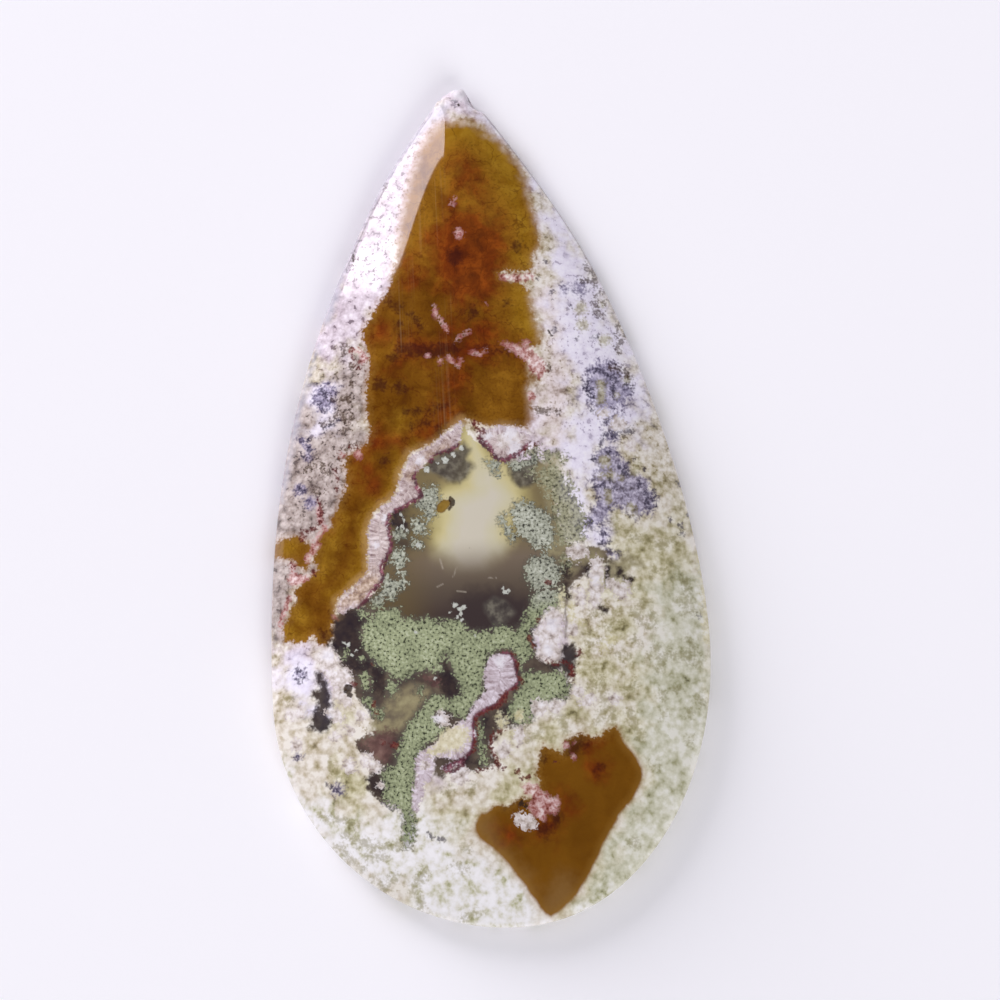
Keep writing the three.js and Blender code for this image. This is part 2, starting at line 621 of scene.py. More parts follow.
            "356,744 366,736 382,733 396,729 403,733 394,750 395,762 387,769 378,764 370,756 "
            "360,752",
            "413,674 425,671 437,676 431,690 420,688 404,692 399,690 410,683",
            "432,755 440,753 456,758 463,759 455,763 445,766 438,771 433,776 435,765",
        ),
        strokes=(
            "1.8: 528,376 540,374 548,368",
            "2: 532,408 542,412 550,410",
            "1.6: 340,458 350,447 358,446",
            "1.8: 330,398 338,402 346,397 350,403",
            "1.6: 322,425 332,422 339,412 345,420",
            "1.4: 352,414 350,424 343,430",
            "1.4: 306,470 316,464 322,470",
            "2: 424,428 432,440",
            "2.5: 612,368 622,370 627,376",
            "2: 618,352 619,343 624,337",
            "1.6: 618,334 618,325",
            "2: 594,304 596,312 603,316",
            "1.6: 586,266 592,274 594,282",
            "1.6: 340,345 352,350",
            "1.8: 426,758 430,764",
        ),
        spots=(
            "354,258,2 353,263,1.6 386,189,1.8 304,455,2.5 352,385,2.5 352,366,4 345,352,3 "
            "323,465,3 327,474,2 557,412,2 588,280,2.5 581,280,2 600,290,2 595,296,2 604,302,2 "
            "574,570,2 342,486,2 316,492,2"
        ),
    ),
    Mark.MOSS: Drawing(
        areas=(
            "384,609 392,607 399,609 401,615 407,619 413,618 418,620 428,617 431,622 440,621 "
            "450,620 458,619 463,623 468,629 475,632 483,631 491,632 493,628 500,624 508,628 "
            "515,631 520,626 525,618 527,610 530,604 532,596 540,588 550,590 560,586 562,596 "
            "558,606 550,611 542,614 538,624 530,632 531,641 534,650 531,658 522,662 524,672 "
            "540,672 556,672 566,676 570,688 568,698 552,701 540,703 533,708 534,718 524,724 "
            "514,724 508,716 510,702 518,690 522,678 519,664 512,652 502,649 491,655 485,666 "
            "484,678 485,691 477,701 470,711 466,721 450,712 436,711 434,722 446,728 438,738 "
            "427,745 419,755 416,768 416,782 413,800 412,814 414,828 413,840 409,847 405,846 "
            "404,832 404,820 402,812 398,807 391,805 384,797 386,785 380,775 385,768 396,766 "
            "397,748 404,733 412,721 421,707 432,694 450,700 463,695 458,679 450,666 446,654 "
            "438,664 434,672 420,670 412,676 402,680 392,676 385,669 375,664 366,650 362,640 "
            "361,630 366,622 374,615 378,611",
            "414,506 418,498 422,488 434,486 439,496 441,502 436,508 434,516 428,520 424,512",
            "414,520 421,518 424,524 428,530 426,535 420,532 415,533 412,527",
            "393,532 400,529 407,532 404,538 397,540 392,538",
            "390,555 394,549 403,549 407,556 404,566 398,570 392,564",
            "381,580 388,576 392,580 398,581 403,577 407,583 402,588 398,590 396,597 388,600 "
            "382,594",
            "370,600 376,594 382,600 383,608 372,610",
            "514,504 524,502 534,505 541,511 550,518 554,532 553,545 546,549 535,548 530,541 "
            "522,537 518,530 514,522 512,512",
            "525,566 535,556 548,556 558,566 560,578 552,588 540,590 533,588 526,580",
            "484,462 494,460 500,464 498,474 492,470",
            "507,462 514,458 524,462 534,457 537,461 528,468 514,470",
            "360,676 366,672 371,680 370,690 364,690",
            "363,700 370,696 376,706 384,710 382,718 374,716",
            "388,680 398,684 396,694 388,696",
            "357,610 362,606 367,612 362,617",
        ),
        strokes=("3: 414,542 418,545", "2.6: 400,574 404,573", "3: 478,724 482,752 484,762"),
        spots="503,520,4 508,530,4 513,538,3 345,655,4 362,659,2 420,690,3 438,668,4",
    ),
    Mark.CRUMB: Drawing(
        spots=(
            "455,605,2.4 460,609,2 464,607,1.8 461,614,2.2 457,617,2 462,620,1.8 450,612,1 "
            "503,588,1.6 505,592,2.8 508,590,1.6 445,460,3.4 453,455,2.8 461,448,2.6 427,470,3 "
            "438,462,2 401,514,1.8 404,520,1.6 402,526,1.8 406,530,1.6 397,527,1.4 348,644,2 "
            "344,642,1.4 356,651,2 352,655,1.6 435,678,1.5 475,636,1.5 416,632,1.6 418,545,2.6"
        ),
    ),
    Mark.CRUST: Drawing(
        areas=(
            "461,423 455,427 447,433 440,440 430,447 420,451 412,455 408,463 404,471 401,481 "
            "399,491 392,502 382,508 376,515 372,522 369,532 370,545 369,560 370,572 362,580 "
            "353,589 342,598 338,604 340,613 348,610 358,606 365,600 371,592 379,585 382,578 "
            "381,567 385,558 390,551 391,545 390,538 388,527 387,519 392,511 402,507 411,502 "
            "420,497 420,491 416,484 413,477 419,468 424,463 430,460 434,454 446,450 456,447 "
            "459,440 461,430",
            "479,431 488,429 500,427 515,428 521,431 530,435 528,442 523,450 514,456 505,460 "
            "497,458 492,452 488,446 481,441",
            "497,655 508,653 514,660 515,672 517,682 511,690 503,695 498,702 489,707 480,713 "
            "474,717 472,726 474,735 471,748 465,757 453,759 441,757 434,753 430,757 434,768 "
            "433,777 427,780 422,783 424,790 422,800 417,811 413,806 414,790 417,776 416,762 "
            "420,755 428,748 438,741 446,735 452,727 460,723 467,721 470,712 477,702 486,692 "
            "485,680 486,668 490,660",
            "443,769 452,764 461,760 463,764 455,769 447,772",
        ),
    ),
    Mark.TUFT: Drawing(
        areas=(
            "545,612 552,608 557,611 559,620 562,628 563,638 560,648 560,657 552,661 543,660 "
            "537,654 540,645 536,640 532,634 538,627 544,621",
            "590,560 598,556 604,564 603,580 602,598 596,607 588,604 589,590 590,574",
            "315,652 322,648 334,652 340,662 336,672 324,671 317,664",
            "322,671 333,668 346,668 354,676 352,688 342,690 330,684",
            "333,690 342,690 350,694 354,702 344,706 334,699",
            "574,590 584,588 588,598 582,608 576,604",
            "567,548 576,543 587,546 588,555 578,562 568,558",
            "512,818 518,812 526,811 533,816 539,822 534,828 525,830 518,827",
            "497,744 506,740 512,750 506,760 498,757",
            "514,729 522,726 526,736 519,747 514,740",
            "333,712 340,708 345,718 340,726 334,722",
            "434,714 442,710 450,716 448,725 440,726",
        ),
        spots=(
            "328,713,4 362,716,6 350,730,5 300,712,6 290,715,5 370,765,6 376,768,5 588,700,7 "
            "578,692,6 583,700,5 540,708,9 556,706,8 615,700,6 296,745,6 618,424,8 604,412,5 "
            "622,590,9 612,584,6 380,785,3 350,766,7 335,737,5 572,630,6 366,758,6 460,775,10 "
            "630,446,6 425,765,5 504,441,8 516,438,6"
        ),
    ),
    Mark.RIM: Drawing(
        strokes=(
            "4: 459,446 452,450 444,453 436,456 431,462",
            "4: 416,474 412,480 417,487 421,495 412,503 404,508 396,511",
            "4: 390,516 388,526 391,538 392,547 386,557 382,568 381,580 374,590 368,600 360,608",
            "4.5: 478,438 484,443 490,448 494,455 503,460 510,458 520,452 530,446 538,443",
            "4: 503,651 511,652 516,658 517,668 521,677 520,684 511,691 504,698",
            "4: 504,700 497,706 488,709 478,715 474,722 476,732 475,742 473,752 466,758",
            "3.5: 464,759 455,764 445,768",
            "3.5: 447,773 455,770 463,765",
            "3: 545,660 555,662 563,655",
        ),
    ),
    Mark.BLOOD: Drawing(
        strokes=(
            "1.4: 503,650 511,651 516,657 518,667",
            "2: 518,674 521,682 516,688 508,692",
            "3.4: 499,702 504,697 507,693",
            "2: 505,703 497,707 488,710 478,715",
            "2: 476,718 477,728 476,740 474,752",
            "2: 507,729 497,732 491,737 491,745 495,755 500,764",
            "2.4: 492,768 499,765 504,768",
            "1.6: 477,770 488,770",
            "2.4: 474,422 478,428 484,432",
            "2: 529,636 531,641 534,648",
            "2.5: 571,665 573,674 570,680",
            "2: 545,660 556,664 566,662",
            "2.4: 518,771 522,778 530,776",
            "1.5: 524,450 530,446 537,443",
            "1.8: 318,500 322,512 320,524 312,530 302,538",
            "1.4: 335,470 338,480 336,492",
            "1.6: 350,447 358,447",
            "1.6: 352,352 352,362 358,368 364,370",
            "1.8: 374,702 376,714",
        ),
        spots=(
            "579,652,3.4 540,620,2.6 303,539,3.4 314,572,2.6 291,566,2.4 304,532,2.6 480,431,3 "
            "572,674,4 395,745,4 383,742,3 556,763,1.5 548,582,3 372,664,1 346,685,1 354,684,3"
        ),
    ),
    Mark.VIOLET: Drawing(
        areas=(
            "597,450 606,447 616,448 620,456 628,462 630,472 642,474 649,480 650,490 656,495 "
            "657,506 651,514 643,513 636,520 628,513 618,507 610,512 604,522 596,526 584,532 "
            "577,529 583,520 590,512 594,505 597,497 594,488 593,478 598,468 593,458",
            "587,370 596,360 608,360 620,366 630,380 632,394 624,405 612,410 600,413 591,404 "
            "586,386",
            "316,386 326,381 335,388 337,402 330,413 320,411 312,402",
        ),
        strokes=(
            "4: 603,526 604,540",
            "4: 608,552 616,556",
            "4: 302,440 308,450 306,457",
            "3.5: 606,424 612,418 620,416",
        ),
        spots="300,490,6 311,503,6 299,675,6 298,757,3.5 338,790,6 580,288,7 612,434,7 565,289,4",
    ),
    Mark.INK: Drawing(
        strokes=(
            "1.4: 604,424 608,419 616,417",
            "2.4: 606,434 614,433 622,432 630,431",
            "1.8: 612,375 616,381 613,388 612,397",
            "1.4: 625,384 633,388",
            "1.6: 646,492 647,502 651,510",
            "1.5: 654,490 654,506",
            "1.6: 594,487 602,485 609,487",
            "1.6: 577,529 584,524 592,521",
            "1.5: 588,380 586,388 590,396",
            "1.3: 594,372 602,370 608,376",
            "1.5: 325,429 334,424 338,420",
            "1.2: 552,334 555,329",
            "1.6: 604,436 600,446",
            "1.4: 333,789 340,794",
            "1.2: 326,784 332,788",
            "1.2: 428,834 432,838",
            "1.4: 438,838 444,840",
            "1.5: 380,800 388,807 396,808",
        ),
        spots=(
            "620,466,3 625,472,3.5 640,484,3 614,434,4 603,534,3 601,543,1.5 609,543,1.5 "
            "608,549,1.4 564,575,3.5 594,458,2 608,453,1.8 615,456,1.5 "
            "592,411,2 586,384,2.5 592,388,1.5 594,396,1.5 322,388,2.5 326,396,3 320,404,2 "
            "330,404,2 324,410,2 306,442,2.4 309,451,3 303,457,1.6 300,491,2.6 299,671,2.5 "
            "300,680,2.5 577,338,1.6 593,338,1.6 597,336,1.6 571,307,1.5 552,291,1.3 553,299,1.3 "
            "538,279,1.6 545,262,1.8 454,102,1.6 458,102,1.4 456,106,1.2 469,100,1.3 450,104,1 "
            "614,488,2 610,480,1.6 634,460,1.6 644,470,1.5 298,757,2 680,486,1.6 671,519,2 "
            "680,525,2 682,534,2.5 689,514,2 507,420,0.5 700,616,2.5 704,606,2 706,628,2"
        ),
    ),
    Mark.BEIGE: Drawing(
        areas=(
            "285,385 320,392 345,345 385,345 372,420 356,480 350,530 322,562 296,604 285,640 "
            "262,650 240,560 262,470",
        ),
    ),
    Mark.FROST: Drawing(
        areas=(
            "344,602 350,560 362,520 392,455 440,428 470,420 560,440 590,470 590,560 565,596 "
            "535,606 515,560 500,585 375,604",
        ),
    ),
    Mark.TAN: Drawing(
        areas=("322,592 340,574 356,562 372,568 384,578 374,600 350,614 336,616",),
        strokes=("5: 424,462 412,474", "4: 446,448 430,456"),
    ),
    Mark.LICHEN: Drawing(
        areas=(
            "538,478 546,468 556,464 566,474 574,490 584,510 586,528 582,542 570,548 560,542 "
            "556,524 552,508 548,492 541,488",
        ),
        strokes=("5: 520,446 534,452 548,458",),
        spots="560,458,5 532,470,5 566,560,6",
    ),
    Mark.PIT: Drawing(
        areas=("446,498 451,496 455,500 454,506 449,511 446,509 450,504 449,500",),
        strokes=("1: 352,253 354,262", "1.2: 548,330 552,336"),
        spots=(
            "348,689,5 350,695,3 522,803,3 526,806,2 482,489,1 470,548,0.8 353,259,1.8 "
            "355,266,1.4 452,104,1.2 458,105,1.6 469,101,1"
        ),
    ),
    Mark.NUGGET: Drawing(
        areas=("437,511 438,504 444,500 450,500 451,504 447,509 441,513",),
    ),
    Mark.RUST: Drawing(
        areas=("362,744 372,736 386,730 397,731 394,748 388,765 378,762 368,753",),
        strokes=("3: 426,676 436,682",),
    ),
    # Polishing lines in the amber, painted lighter as a faint reflection along the highlight's
    # edge.
    Mark.STREAK_SHEEN: Drawing(
        areas=(
            "420,172 442,172 438,215 432,245 424,250 412,240",
            "403,262 411,262 410,300 406,345 396,350 397,310",
            "436,440 448,300 452,300 450,430",
        ),
    ),
    Mark.BUTTER: Drawing(
        areas=(
            "446,729 458,725 467,727 468,738 462,749 450,753 440,752 432,758 427,753 436,741",
            "498,712 506,716 508,724 503,731 497,726",
        ),
        strokes=(
            "4.5: 702,556 705,580 707,610 708,640",
            "3: 572,604 571,620 572,636",
            "2: 560,590 562,604",
        ),
        spots="612,640,5 604,646,5 580,622,4 520,716,5",
    ),
    # Painted sheen: the soft reflection and glassy see-through look of the thin left rim.
    Mark.MARGIN_SHEEN: Drawing(
        strokes=(
            "5: 444,107 420,131 400,156 382,183 367,210 354,238 344,262 335,290 327,320",
            "2: 318,348 306,384 297,420 289,460 282,500",
        ),
    ),
    Mark.SCRATCH: Drawing(
        strokes=(
            "0.9: 440,559 443,569",
            "1: 486,577 496,578",
            "0.8: 437,587 443,584",
            "0.8: 453,577 457,567",
            "0.8: 457,591 466,592",
        ),
    ),
    Mark.EYE: Drawing(
        strokes=(
            "4: 601,384 601,392 600,400",
            "3.2: 616,516 614,524",
            "3.6: 636,462 635,472",
            "3: 608,491 608,500",
        ),
        spots=(
            "605,461,5.5 611,475,5 631,507,4.5 600,476,3 634,515,3 581,308,6 605,340,6 "
            "583,325,6 602,305,3 626,380,4 616,395,3 622,478,2.4"
        ),
    ),
    Mark.CRYSTAL: Drawing(
        spots=(
            "515,449,7 488,437,4 510,433,6 438,718,4 500,662,5 552,625,6 548,650,5 597,580,4 "
            "328,656,5 420,460,4 385,520,4 375,545,3 459,93,7"
        ),
    ),
}


# The stone's form


def curve(start: Point, first: Point, second: Point, end: Point, steps: int) -> np.ndarray:
    """Draws a Bezier curve.

    Args:
        start: Where the curve starts.
        first: The handle of its start.
        second: The handle of its end.
        end: Where the curve ends.
        steps: How many points to give.

    Returns:
        The points from the start up to but without the end, one row each.
    """
    t = np.linspace(0, 1, steps, endpoint=False)[:, None]
    a, b, c, d = (np.array(point, float) for point in (start, first, second, end))
    return (1 - t) ** 3 * a + 3 * (1 - t) ** 2 * t * b + 3 * (1 - t) * t**2 * c + t**3 * d


@dataclass(frozen=True)
class Chip:
    """A flat break on the tip: a point on it and the direction that it faces.

    It goes as far as its reach from the point, and runs out over its fade.
    """

    at: Place
    facing: Place
    reach: float = 1.3
    fade: float = 0.7


@dataclass(frozen=True)
class StoneForm:
    """The pear-shaped stone in millimetres, with its back on the table.

    The dome rises as (1 - share ** shoulder) ** fullness, the share being the way from the crown
    to the edge. High on the dome the pear softens into an egg, which has its own reaches from
    the crown. The larger the egg's fade, the nearer to the edge the egg already shows.
    The broken tip is rough. Ripples press it in, each the sine of x, y and z times its first
    three numbers plus the last.
    """

    length: float = 50.0
    width: float = 25.6
    thickness: float = 5.5
    girdle_top: float = 1.4
    back_bevel: float = 0.45
    crown: Point = (0.2, -6.5)
    tip_right: Point = (0.62, 24.28)
    tip_left: Point = (-1.2, 24.43)
    tip_top: float = -0.3
    left_shoulder: Point = (-6.0, 17.2)
    left_widest: float = -11.45
    foot: float = 0.8
    right_widest: float = -9.1
    right_shoulder: Point = (6.1, 15.85)
    shoulder: float = 2.4
    fullness: float = 0.7
    egg_side: float = 12.0
    egg_tip: float = 25.0
    egg_foot: float = 17.0
    egg_fade: float = 3.0
    chips: tuple[Chip, ...] = (
        Chip((0.5, 24.2, 1.0), (0.92, 0.3, 0.25)),
        Chip((-0.72, 24.7, 1.1), (-0.45, 0.85, 0.3)),
    )
    rough_from: float = 23.1
    rough_over: float = 1.2
    rough_above: float = 0.05
    rough_rise: float = 0.4
    rough_depth: float = 0.05
    rough_setback: float = 0.03
    ripples: tuple[tuple[float, float, float, float], ...] = (
        (9.1, 5.3, 0.0, 3.0),
        (-6.7, 11.9, 8.3, 0.0),
        (14.3, -4.1, 10.7, 1.7),
    )
    around: int = 560
    dome_rows: int = 122
    back_rows: int = 36
    bevel_rows: tuple[float, ...] = (0.04, 0.5, 0.96)
    girdle_rows: tuple[float, ...] = (0.468, 0.7, 1.0)
    edge_crowding: float = 0.03

    def outline(self) -> np.ndarray:
        """Draws the outline seen from above, anticlockwise, in even steps.

        Returns:
            Its points, one row each, the first one again at the end.
        """
        top, half = self.length / 2, self.width / 2
        tip, foot = (self.tip_top, top), (self.foot, -top)
        left, right = (-half, self.left_widest), (half, self.right_widest)
        bends = (
            (self.tip_right, (0.4, 24.66), (0.1, top), tip, 40),
            (tip, (-0.68, top), (-0.9, 24.78), self.tip_left, 40),
            (self.tip_left, (-2.15, 23.05), (-4.45, 20.3), self.left_shoulder, 300),
            (self.left_shoulder, (-9.6, 10.0), (-half, 2.75), left, 600),
            (left, (-half, -18.45), (-7.0, -top), foot, 500),
            (foot, (7.85, -top), (half, -17.5), right, 500),
            (right, (half, -0.45), (8.85, 10.9), self.right_shoulder, 600),
            (self.right_shoulder, (4.5, 18.75), (1.75, 22.9), self.tip_right, 300),
        )
        points = np.vstack([*(curve(*bend) for bend in bends), np.array([self.tip_right])])
        run = np.concatenate([[0], np.cumsum(np.hypot(*np.diff(points, axis=0).T))])
        even = np.linspace(0, run[-1], self.around + 1)
        return np.stack([np.interp(even, run, points[:, i]) for i in (0, 1)], axis=1)

    def inward(self, edge: np.ndarray) -> np.ndarray:
        """Finds the inward direction along the outline.

        Args:
            edge: The outline's points, the first one again at the end.

        Returns:
            A unit direction for each of the points.
        """
        loop = edge[:-1]
        chord = np.roll(loop, -1, axis=0) - np.roll(loop, 1, axis=0)
        chord /= np.hypot(*chord.T)[:, None]
        side = np.stack([-chord[:, 1], chord[:, 0]], axis=1)
        return np.vstack([side, side[:1]])

    def rows(self) -> list[Place]:
        """Lists the rows from the middle of the back to the crown.

        Returns:
            The share, inset and height of each row.
        """
        bevel, top, crowding = self.back_bevel, self.girdle_top, self.edge_crowding
        rows = [(share, bevel, 0.0) for share in np.linspace(0, 1, self.back_rows)]
        rows += [(1, bevel * (1 - t), bevel * t) for t in self.bevel_rows]
        rows += [(1, 0.0, height) for height in (*self.girdle_rows, top)]
        for t in np.linspace(0, 1, self.dome_rows + 1)[1:]:
            share = max(0.0, 1 - (1 + crowding) * t * t / (t + crowding))
            rise = (1 - share**self.shoulder) ** self.fullness
            rows.append((share, 0.0, top + (self.thickness - top) * rise))
        return rows

    def ring(self, edge: np.ndarray, row: Place, side: np.ndarray) -> np.ndarray:
        """Places of one row of the stone.

        Args:
            edge: The outline's points.
            row: The share, inset and height of the row.
            side: The inward direction at each of the points.

        Returns:
            One place for each of the outline's points.
        """
        share, inset, height = row
        offset = edge - np.array(self.crown)
        reach = np.hypot(*offset.T)
        unit = offset / reach[:, None]
        ahead = np.where(unit[:, 1] > 0, self.egg_tip, self.egg_foot)
        egg = 1 / np.hypot(unit[:, 0] / self.egg_side, unit[:, 1] / ahead)
        pear = share**self.egg_fade
        flat = unit * ((reach * pear + egg * (1 - pear)) * share)[:, None]
        flat += np.array(self.crown) + side * inset * share
        return np.column_stack([flat, np.full(len(flat), height)])

    def chipped(self, places: np.ndarray) -> np.ndarray:
        """Presses what stands past a break at the tip back onto it.

        Args:
            places: Places on the whole stone, one row each.

        Returns:
            The same places on the broken stone.
        """
        places = places.copy()
        for chip in self.chips:
            face = np.array(chip.facing) / np.linalg.norm(chip.facing)
            past = (places - np.array(chip.at)) @ face
            away = np.linalg.norm(places - np.array(chip.at), axis=1)
            share = np.clip((chip.reach - away) / chip.fade, 0, 1)
            places -= (np.clip(past, 0, None) * share)[:, None] * face
        return places

    def roughened(self, places: np.ndarray) -> np.ndarray:
        """Gives the broken tip an uneven surface, kept inside the stone's box.

        Args:
            places: Places on the stone, one row each.

        Returns:
            The same places, those near the tip pressed in by crossing ripples.
        """
        x, y, z = places.T
        near = np.clip((y - self.rough_from) / self.rough_over, 0, 1)
        near *= np.clip((z - self.rough_above) / self.rough_rise, 0, 1)
        bumps = sum(np.sin(a * x + b * y + c * z + start) for a, b, c, start in self.ripples)
        places = places.copy()
        places[:, 2] -= self.rough_depth * near * (bumps + 1.6).clip(0)
        places[:, 1] -= self.rough_setback * near * (bumps + 1.0).clip(0)
        return places


# The materials


def linear(color: Rgb) -> tuple[float, float, float, float]:
    """Turns a colour on the screen into a colour of light.

    Args:
        color: Red, green and blue in screen steps from 0 to 255.

    Returns:
        Red, green and blue from 0 to 1 in linear light, and full cover.
    """
    parts = [c / 255 for c in color]
    parts = [c / 12.92 if c < 0.04045 else ((c + 0.055) / 1.055) ** 2.4 for c in parts]
    return (*parts, 1.0)


class Graph:
    """Puts a material together from small signals. Sizes and places are in millimetres."""

    def __init__(self, name: str) -> None:
        """Starts an empty material with its output.

        Args:
            name: The material's name.
        """
        self.material = bpy.data.materials.new(name)
        self.material.use_nodes = True
        self.tree = self.material.node_tree
        self.tree.nodes.clear()
        self.output = self.tree.nodes.new("ShaderNodeOutputMaterial")

    def make(self, kind: str, **settings: object) -> bpy.types.Node:
        """Adds a node.

        Args:
            kind: The node's type.
            **settings: The node's properties and their values.

        Returns:
            The new node.
        """
        node = self.tree.nodes.new(kind)
        for key, value in settings.items():
            setattr(node, key, value)
        return node

    def feed(self, socket: bpy.types.NodeSocket, value: object) -> None:
        """Links an input or sets its value.

        Args:
            socket: The input.
            value: A signal, an output or a plain value.
        """
        if isinstance(value, Signal):
            value = value.socket
        if isinstance(value, bpy.types.NodeSocket):
            self.tree.links.new(value, socket)
        else:
            socket.default_value = value

    def math(self, operation: str, *values: object) -> "Signal":
        """Does a sum on signals or numbers.

        Args:
            operation: The name of the operation.
            *values: Up to three signals or numbers.

        Returns:
            The result.
        """
        node = self.make("ShaderNodeMath", operation=operation)
        for socket, value in zip(node.inputs, values):
            self.feed(socket, value)
        return Signal(self, node.outputs[0])

    def mark(self, name: str) -> "Signal":
        """A number stored on the mesh, such as a marking's depth in millimetres."""
        node = self.make("ShaderNodeAttribute", attribute_name=name)
        return Signal(self, node.outputs["Fac"])

    def spot(self, name: str) -> "Signal":
        """A place stored on the mesh, in millimetres."""
        node = self.make("ShaderNodeAttribute", attribute_name=name)
        return Signal(self, node.outputs["Vector"])

    def moved(self, where: "Signal", by: object) -> "Signal":
        """Moves a place.

        Args:
            where: The place.
            by: An offset or a vector signal.

        Returns:
            The moved place.
        """
        node = self.make("ShaderNodeVectorMath", operation="ADD")
        self.feed(node.inputs[0], where)
        self.feed(node.inputs[1], by)
        return Signal(self, node.outputs[0])

    def bend(self, where: "Signal", size: float, amount: float) -> "Signal":
        """Bends a place by a soft noise.

        Args:
            where: The place.
            size: The size of the noise's features.
            amount: How far the place moves at most.

        Returns:
            The bent place.
        """
        noise = self.make("ShaderNodeTexNoise", noise_dimensions="2D")
        self.feed(noise.inputs["Vector"], where)
        noise.inputs["Scale"].default_value = 1 / size
        noise.inputs["Detail"].default_value = 2
        middle = self.make("ShaderNodeVectorMath", operation="SUBTRACT")
        self.feed(middle.inputs[0], noise.outputs["Color"])
        middle.inputs[1].default_value = (0.5, 0.5, 0.5)
        scaled = self.make("ShaderNodeVectorMath", operation="SCALE")
        self.feed(scaled.inputs[0], middle.outputs[0])
        scaled.inputs["Scale"].default_value = amount * 2
        return self.moved(where, Signal(self, scaled.outputs[0]))

    def noise(
        self, where: "Signal", size: float, detail: float = 2.0, rough: float = 0.5
    ) -> "Signal":
        """A noise, spread to about 0 to 1.

        Args:
            where: The place.
            size: The size of its features.
            detail: How many finer noises lie in it.
            rough: How strong each finer noise is.

        Returns:
            The noise at the place.
        """
        node = self.make("ShaderNodeTexNoise", noise_dimensions="2D")
        self.feed(node.inputs["Vector"], where)
        node.inputs["Scale"].default_value = 1 / size
        node.inputs["Detail"].default_value = detail
        node.inputs["Roughness"].default_value = rough
        return Signal(self, node.outputs["Fac"]).span(*NOISE_RANGE)

    def cells(self, where: "Signal", size: float, feature: str = "F1") -> "Signal":
        """A pattern of cells.

        Args:
            where: The place.
            size: The size of a cell.
            feature: F1 for the distance from a cell's middle, DISTANCE_TO_EDGE for its walls.

        Returns:
            The distance, where 1 is the size of a cell.
        """
        node = self.make("ShaderNodeTexVoronoi", voronoi_dimensions="2D", feature=feature)
        self.feed(node.inputs["Vector"], where)
        node.inputs["Scale"].default_value = 1 / size
        return Signal(self, node.outputs["Distance"])

    def ramp(self, signal: "Signal", *tones: Rgb) -> "Signal":
        """Colours a signal.

        Args:
            signal: A signal from 0 to 1.
            *tones: The colours, at even steps of the signal.

        Returns:
            The colour.
        """
        node = self.make("ShaderNodeValToRGB")
        stops = node.color_ramp.elements
        while len(stops) < len(tones):
            stops.new(0.5)
        for stop, tone, where in zip(stops, tones, np.linspace(0, 1, len(tones))):
            stop.position = float(where)
            stop.color = linear(tone)
        self.feed(node.inputs[0], signal)
        return Signal(self, node.outputs[0])

    def mix(self, share: object, under: object, over: object) -> "Signal":
        """Lays one colour over another.

        Args:
            share: How much of the upper colour shows, from 0 to 1.
            under: The lower colour.
            over: The upper colour.

        Returns:
            The mixed colour.
        """
        node = self.make("ShaderNodeMix", data_type="RGBA")
        self.feed(node.inputs[0], share)
        self.feed(node.inputs[6], under)
        self.feed(node.inputs[7], over)
        return Signal(self, node.outputs[2])


@dataclass(frozen=True)
class Signal:
    """An output of the material's graph, with arithmetic."""

    graph: Graph
    socket: bpy.types.NodeSocket

    def __add__(self, other: object) -> "Signal":
        """The sum."""
        return self.graph.math("ADD", self, other)

    def __sub__(self, other: object) -> "Signal":
        """The difference."""
        return self.graph.math("SUBTRACT", self, other)

    def __mul__(self, other: object) -> "Signal":
        """The product."""
        return self.graph.math("MULTIPLY", self, other)

    def most(self, other: object) -> "Signal":
        """The larger one."""
        return self.graph.math("MAXIMUM", self, other)

    def inverse(self) -> "Signal":
        """One minus the signal."""
        return self.graph.math("SUBTRACT", 1.0, self)

    def ranged(self, low: float, high: float, kind: str) -> "Signal":
        """Maps the signal to 0 to 1, and stops there.

        Args:
            low: What becomes 0.
            high: What becomes 1.
            kind: How it rises: LINEAR or SMOOTHSTEP.

        Returns:
            The mapped signal.
        """
        node = self.graph.make("ShaderNodeMapRange", interpolation_type=kind, clamp=True)
        self.graph.feed(node.inputs[0], self)
        node.inputs[1].default_value = low
        node.inputs[2].default_value = high
        return Signal(self.graph, node.outputs[0])

    def span(self, low: float, high: float) -> "Signal":
        """A straight rise from 0 at low to 1 at high."""
        return self.ranged(low, high, "LINEAR")

    def step(self, low: float, high: float) -> "Signal":
        """A soft step from 0 at low to 1 at high."""
        return self.ranged(low, high, "SMOOTHSTEP")


class Edge(Enum):
    """How a marking's edge wanders from its drawn line."""

    CLOUDY = "cloudy"
    WAVY = "wavy"
    CRUMBLY = "crumbly"


class Grain(Enum):
    """The pattern inside a marking."""

    CLOUDS = "clouds"
    PUFFS = "puffs"
    GRANULES = "granules"
    FIBRES = "fibres"
    FINE = "fine"
    SPECKLE = "speckle"


@dataclass(frozen=True)
class Layer:
    """One coat of colour on a marking.

    The edge wanders from its drawn line by up to `wander` and fades over `soft`, and the coat
    lies wider than drawn by `grow`, all in millimetres. The tones run from light to dark. With
    `within`, the coat shows only where that second marking lies too.
    """

    mark: Mark
    edge: Edge
    grain: Grain
    tones: Tones
    wander: float
    soft: float
    strength: float = 1.0
    grow: float = 0.0
    within: Mark | None = None


@dataclass(frozen=True)
class Tint:
    """A tint of the crystal mass: its tones, how strong its lumps show and how dark its pits."""

    tones: Tones
    contrast: float = 1.0
    pits: float = 0.8
    cover: float = 1.0


